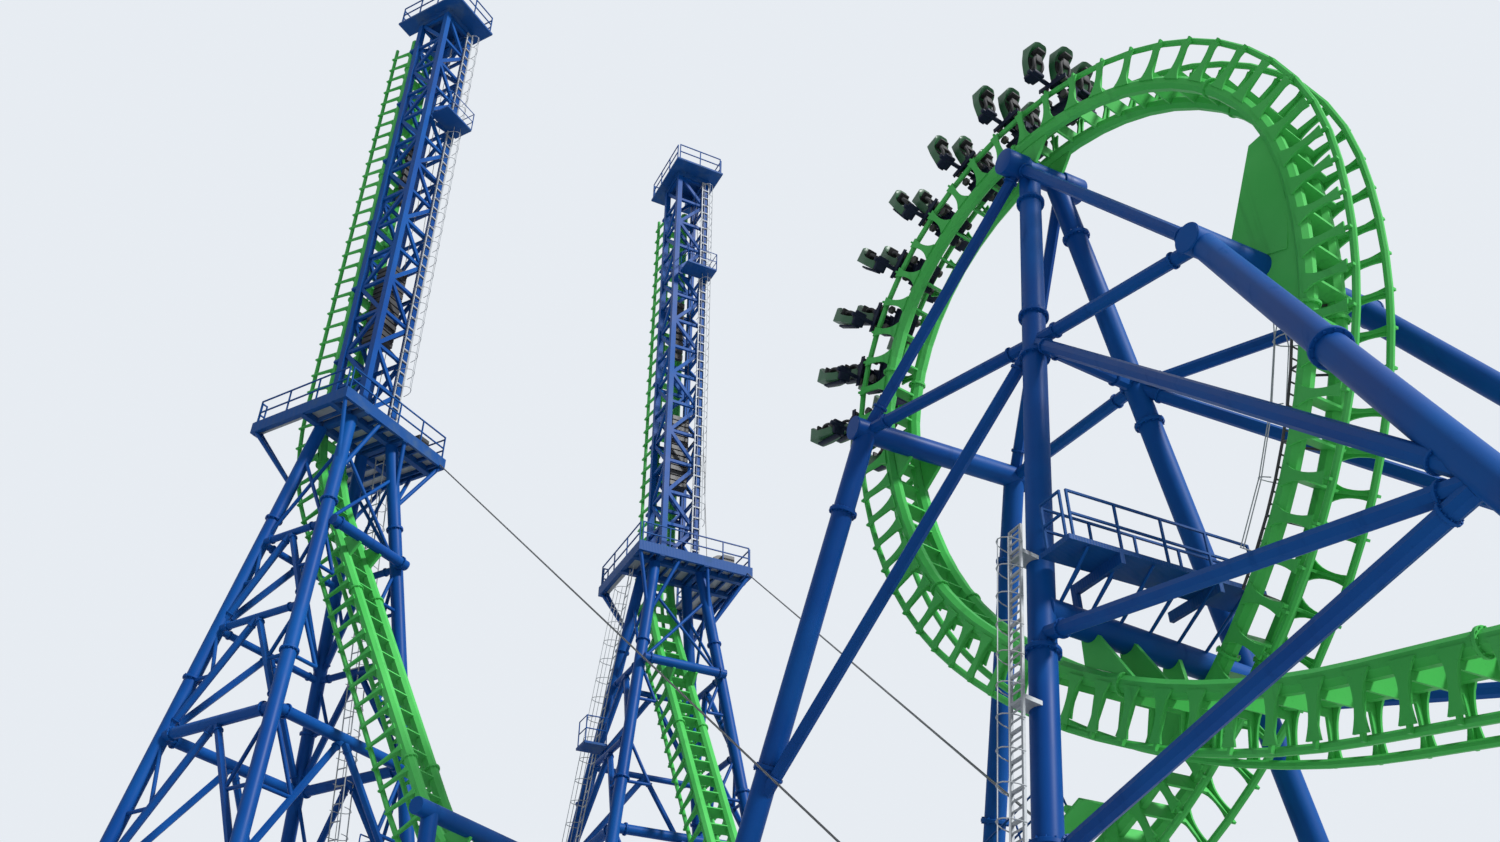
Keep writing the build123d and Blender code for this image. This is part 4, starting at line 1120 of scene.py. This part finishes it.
def pads_source():
    return joined([
        rounded_box((-0.020, -0.013, 0.004), (-0.009, 0.013, 0.022), 0.004),
        rounded_box((-0.018, -0.017, 0.026), (-0.010, 0.017, 0.074), 0.004),
        rounded_box((-0.008, -0.017, 0.072), (0.026, 0.017, 0.080), 0.003)], "pads")


def restraint_source():
    curve = round_curve(RESTRAINT_R, 2)
    curve.resolution_u = 4
    spline = curve.splines.new("BEZIER")
    spline.bezier_points.add(len(RESTRAINT_LINE) - 1)
    for point, spot in zip(spline.bezier_points, RESTRAINT_LINE):
        point.co = spot
        point.handle_left_type = "AUTO"
        point.handle_right_type = "AUTO"
    tubes_to_mesh()
    tube = finish_source("restraint")
    chest = rounded_box((0.004, -0.013, 0.036), (0.016, 0.013, 0.064), 0.004)
    return joined([tube, chest], "restraint")


# %% [markdown]
# Each car's own axes stand on the loop's arc: Z points out from the centre, Y across the
# track and X along it. The four seats of a car are stepped, the outer pair behind.

# %% Seats along the train
CARS = 8
CAR_PITCH = 13.0
TRAIN_START = 178.5
SEAT_SPOTS = ((-0.115, -0.020), (-0.045, 0.020), (0.045, 0.020), (0.115, -0.020))
SEAT_DROP = 0.1603
car_places = []
for car in range(CARS):
    out = ring_out(TRAIN_START - CAR_PITCH * (car + 0.5))
    turn = Matrix((ACROSS.cross(out), ACROSS, out)).transposed().to_4x4()
    car_places.append(Matrix.Translation(LOOP_CENTRE + out * LOOP_R) @ turn)
seat_places = [car @ Matrix.Translation((ahead, across, SEAT_DROP))
               for car in car_places for across, ahead in SEAT_SPOTS]
seat, pads, restraint = seat_source(), pads_source(), restraint_source()
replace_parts(copies(seat, "seat_shells", seat_places, "seat_green", "train"), "train_seats")
copies(pads, "seat_pads", seat_places, "harness_black", "train")
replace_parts(copies(restraint, "restraint_pads", seat_places, "harness_black", "train"), "train_harnesses")
drop(seat, pads, restraint)

# %% [markdown]
# The carriers run between the rails and carry the seats on two cross tubes. Wheel trucks
# stand on the rails at both sides, and a bare iron link joins each car to the next.

# %% Carriers, cross tubes and couplings
SIDEWAYS = Matrix.Rotation(math.pi / 2, 4, "X")
NECK_SIZES = [(0.064, 0.024), (0.053, 0.021), (0.049, 0.020), (0.053, 0.021), (0.064, 0.024)]
NECK_FOOT = (0, 0, 0.095)
NECK_STEP = (0, 0, 0.01375)
CROSS_TUBES = ((-0.020, 0.146), (0.020, 0.070))
CROSS_TUBE_R = 0.0068
CROSS_TUBE_Z = 0.1520
AXLE_AHEAD = 0.030
AXLE_ASIDE = 0.03635
AXLE_Z = 0.0895
COUPLING_AHEAD, COUPLING_Z = 0.042, 0.075


def cross_bar(radius, length, bevel, sides, centre):
    """A round bar across the car."""
    bar = round_source(radius, length, bevel, sides)
    bar.data.transform(Matrix.Translation(centre) @ SIDEWAYS)
    return bar


def neck_source():
    """A pillar between the carrier and the cross tubes, slimmer at half height."""
    drawn_up(NECK_SIZES, NECK_FOOT, NECK_STEP)
    return finish_source("neck", 0.001)


def seat_bracket(across, ahead):
    """A pan under the seat and a spine up its back."""
    pan = rounded_box((ahead - 0.030, across - 0.020, 0.1475),
                      (ahead + 0.016, across + 0.020, 0.1592), 0.003)
    spine = rounded_box((ahead - 0.036, across - 0.010, 0.150),
                        (ahead - 0.030, across + 0.010, 0.238), 0.002)
    return [pan, spine]


carrier_parts = [
    rounded_box((-0.045, -0.030, 0.052), (0.045, 0.030, 0.098), 0.006),
    rounded_box((-0.045, -0.034, 0.084), (0.045, 0.034, 0.094), 0.002),
    rounded_box((-0.012, -0.022, 0.046), (0.012, 0.022, 0.060), 0.003),
    neck_source()]
for ahead, reach in CROSS_TUBES:
    carrier_parts.append(cross_bar(CROSS_TUBE_R, 2 * reach, 0.001, 16, (ahead, 0, CROSS_TUBE_Z)))
for across, ahead in SEAT_SPOTS:
    carrier_parts += seat_bracket(across, ahead)
for side in (-1, 1):
    for ahead in (-AXLE_AHEAD, AXLE_AHEAD):
        carrier_parts.append(cross_bar(0.0040, 0.0227, 0.0, 12, (ahead, side * AXLE_ASIDE, AXLE_Z)))
carrier = joined(carrier_parts, "carrier")
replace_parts(copies(carrier, "train_carriers", car_places, "chassis_navy", "train"), "train_chassis")
drop(carrier)
couplings = []
for car, following in zip(car_places[1:], car_places[:-1]):
    couplings.append([car @ Vector((COUPLING_AHEAD, 0, COUPLING_Z)),
                      following @ Vector((-COUPLING_AHEAD, 0, COUPLING_Z))])
links = rods("train_couplings", couplings, 0.0065, "chassis_navy", "train", sides=2)
links.data.materials[0] = IRON

# %% Wheel trucks
RAIL_HALF = 0.060
WHEEL_Z = 0.1413
WHEEL_AHEAD = 0.034
PLATE_OUT = 0.0075
HALF_PLATE = 0.002
trucks = []
wheels = []
wheel = round_source(0.0115, 0.010, 0.0014)
hub = round_source(0.0048, 0.013, 0.0008, 12)
for car in car_places:
    for side in (-1, 1):
        y = side * RAIL_HALF
        middle = y + side * PLATE_OUT
        plate = placed((-0.050, middle - HALF_PLATE, 0.1335), (0.050, middle + HALF_PLATE, 0.1475))
        trucks.append(car @ plate)
        trucks.append(car @ placed((-0.008, min(y, 0), 0.1385), (0.008, max(y, 0), 0.1445)))
        for ahead in (-WHEEL_AHEAD, WHEEL_AHEAD):
            wheels.append(car @ Matrix.Translation((ahead, y, WHEEL_Z)) @ SIDEWAYS)
copies(cube, "wheel_trucks", trucks, "chassis_navy", "train")
copies(wheel, "truck_wheels", wheels, "wheel_black", "train")
copies(hub, "wheel_hubs", wheels, "galvanised", "train")
drop(wheel, hub, cube)

# %% [markdown]
# The stage is a plain pale floor and a pale backdrop that only the camera, glossy and
# transmitted rays see, so the light on the object stays even and plain.


# %% Floor, light and camera
WORLD_STRENGTH = 0.38
SUN_ENERGY = 4.2
SUN_ANGLE = math.radians(9)
SUN_WAY = Vector((-0.70, -0.42, -0.62))


def stage_floor():
    clear_selection()
    bpy.ops.mesh.primitive_plane_add(size=60, location=(0, 0, 0))
    floor = active()
    floor.name = "floor"
    bpy.ops.object.transform_apply()
    pale = Finish("pale_floor")
    floor.data.materials.append(pale.set(Base_Color=(0.62, 0.63, 0.64, 1), Roughness=0.9))


def soft_light():
    world = bpy.data.worlds.new("studio")
    bpy.context.scene.world = world
    world.use_nodes = True
    tree = world.node_tree
    light = tree.nodes["Background"]
    light.inputs["Color"].default_value = (0.80, 0.86, 0.94, 1)
    light.inputs["Strength"].default_value = WORLD_STRENGTH
    backdrop = tree.nodes.new("ShaderNodeBackground")
    backdrop.inputs["Color"].default_value = (0.80, 0.84, 0.89, 1)
    rays = tree.nodes.new("ShaderNodeLightPath")
    seen_by = rays.outputs["Is Camera Ray"]
    for kind in ("Is Glossy Ray", "Is Transmission Ray"):
        either = tree.nodes.new("ShaderNodeMath")
        either.operation = "MAXIMUM"
        tree.links.new(seen_by, either.inputs[0])
        tree.links.new(rays.outputs[kind], either.inputs[1])
        seen_by = either.outputs[0]
    mix = tree.nodes.new("ShaderNodeMixShader")
    tree.links.new(seen_by, mix.inputs[0])
    tree.links.new(light.outputs[0], mix.inputs[1])
    tree.links.new(backdrop.outputs[0], mix.inputs[2])
    tree.links.new(mix.outputs[0], tree.nodes["World Output"].inputs["Surface"])
    clear_selection()
    bpy.ops.object.light_add(type="SUN", location=(0, 0, 8))
    sun = active()
    sun.data.energy = SUN_ENERGY
    sun.data.angle = SUN_ANGLE
    sun.rotation_euler = SUN_WAY.to_track_quat("-Z", "Y").to_euler()


EYE = Vector((1.79, -1.38, 0.17))
HEADING = Vector((-0.891, 0.454, 0))
PITCH = math.radians(36.2)
FOCAL_PIXELS = 1290.0
IMAGE_WIDE = 1500.0
stage_floor()
soft_light()
clear_selection()
bpy.ops.object.camera_add(location=EYE)
camera = active()
look = HEADING * math.cos(PITCH) + Vector((0, 0, math.sin(PITCH)))
camera.rotation_euler = look.to_track_quat("-Z", "Y").to_euler()
camera.data.sensor_width = 36.0
camera.data.lens = 36.0 * FOCAL_PIXELS / IMAGE_WIDE
camera.data.clip_end = 200.0
bpy.context.scene.camera = camera
bpy.context.scene.view_settings.view_transform = "Standard"
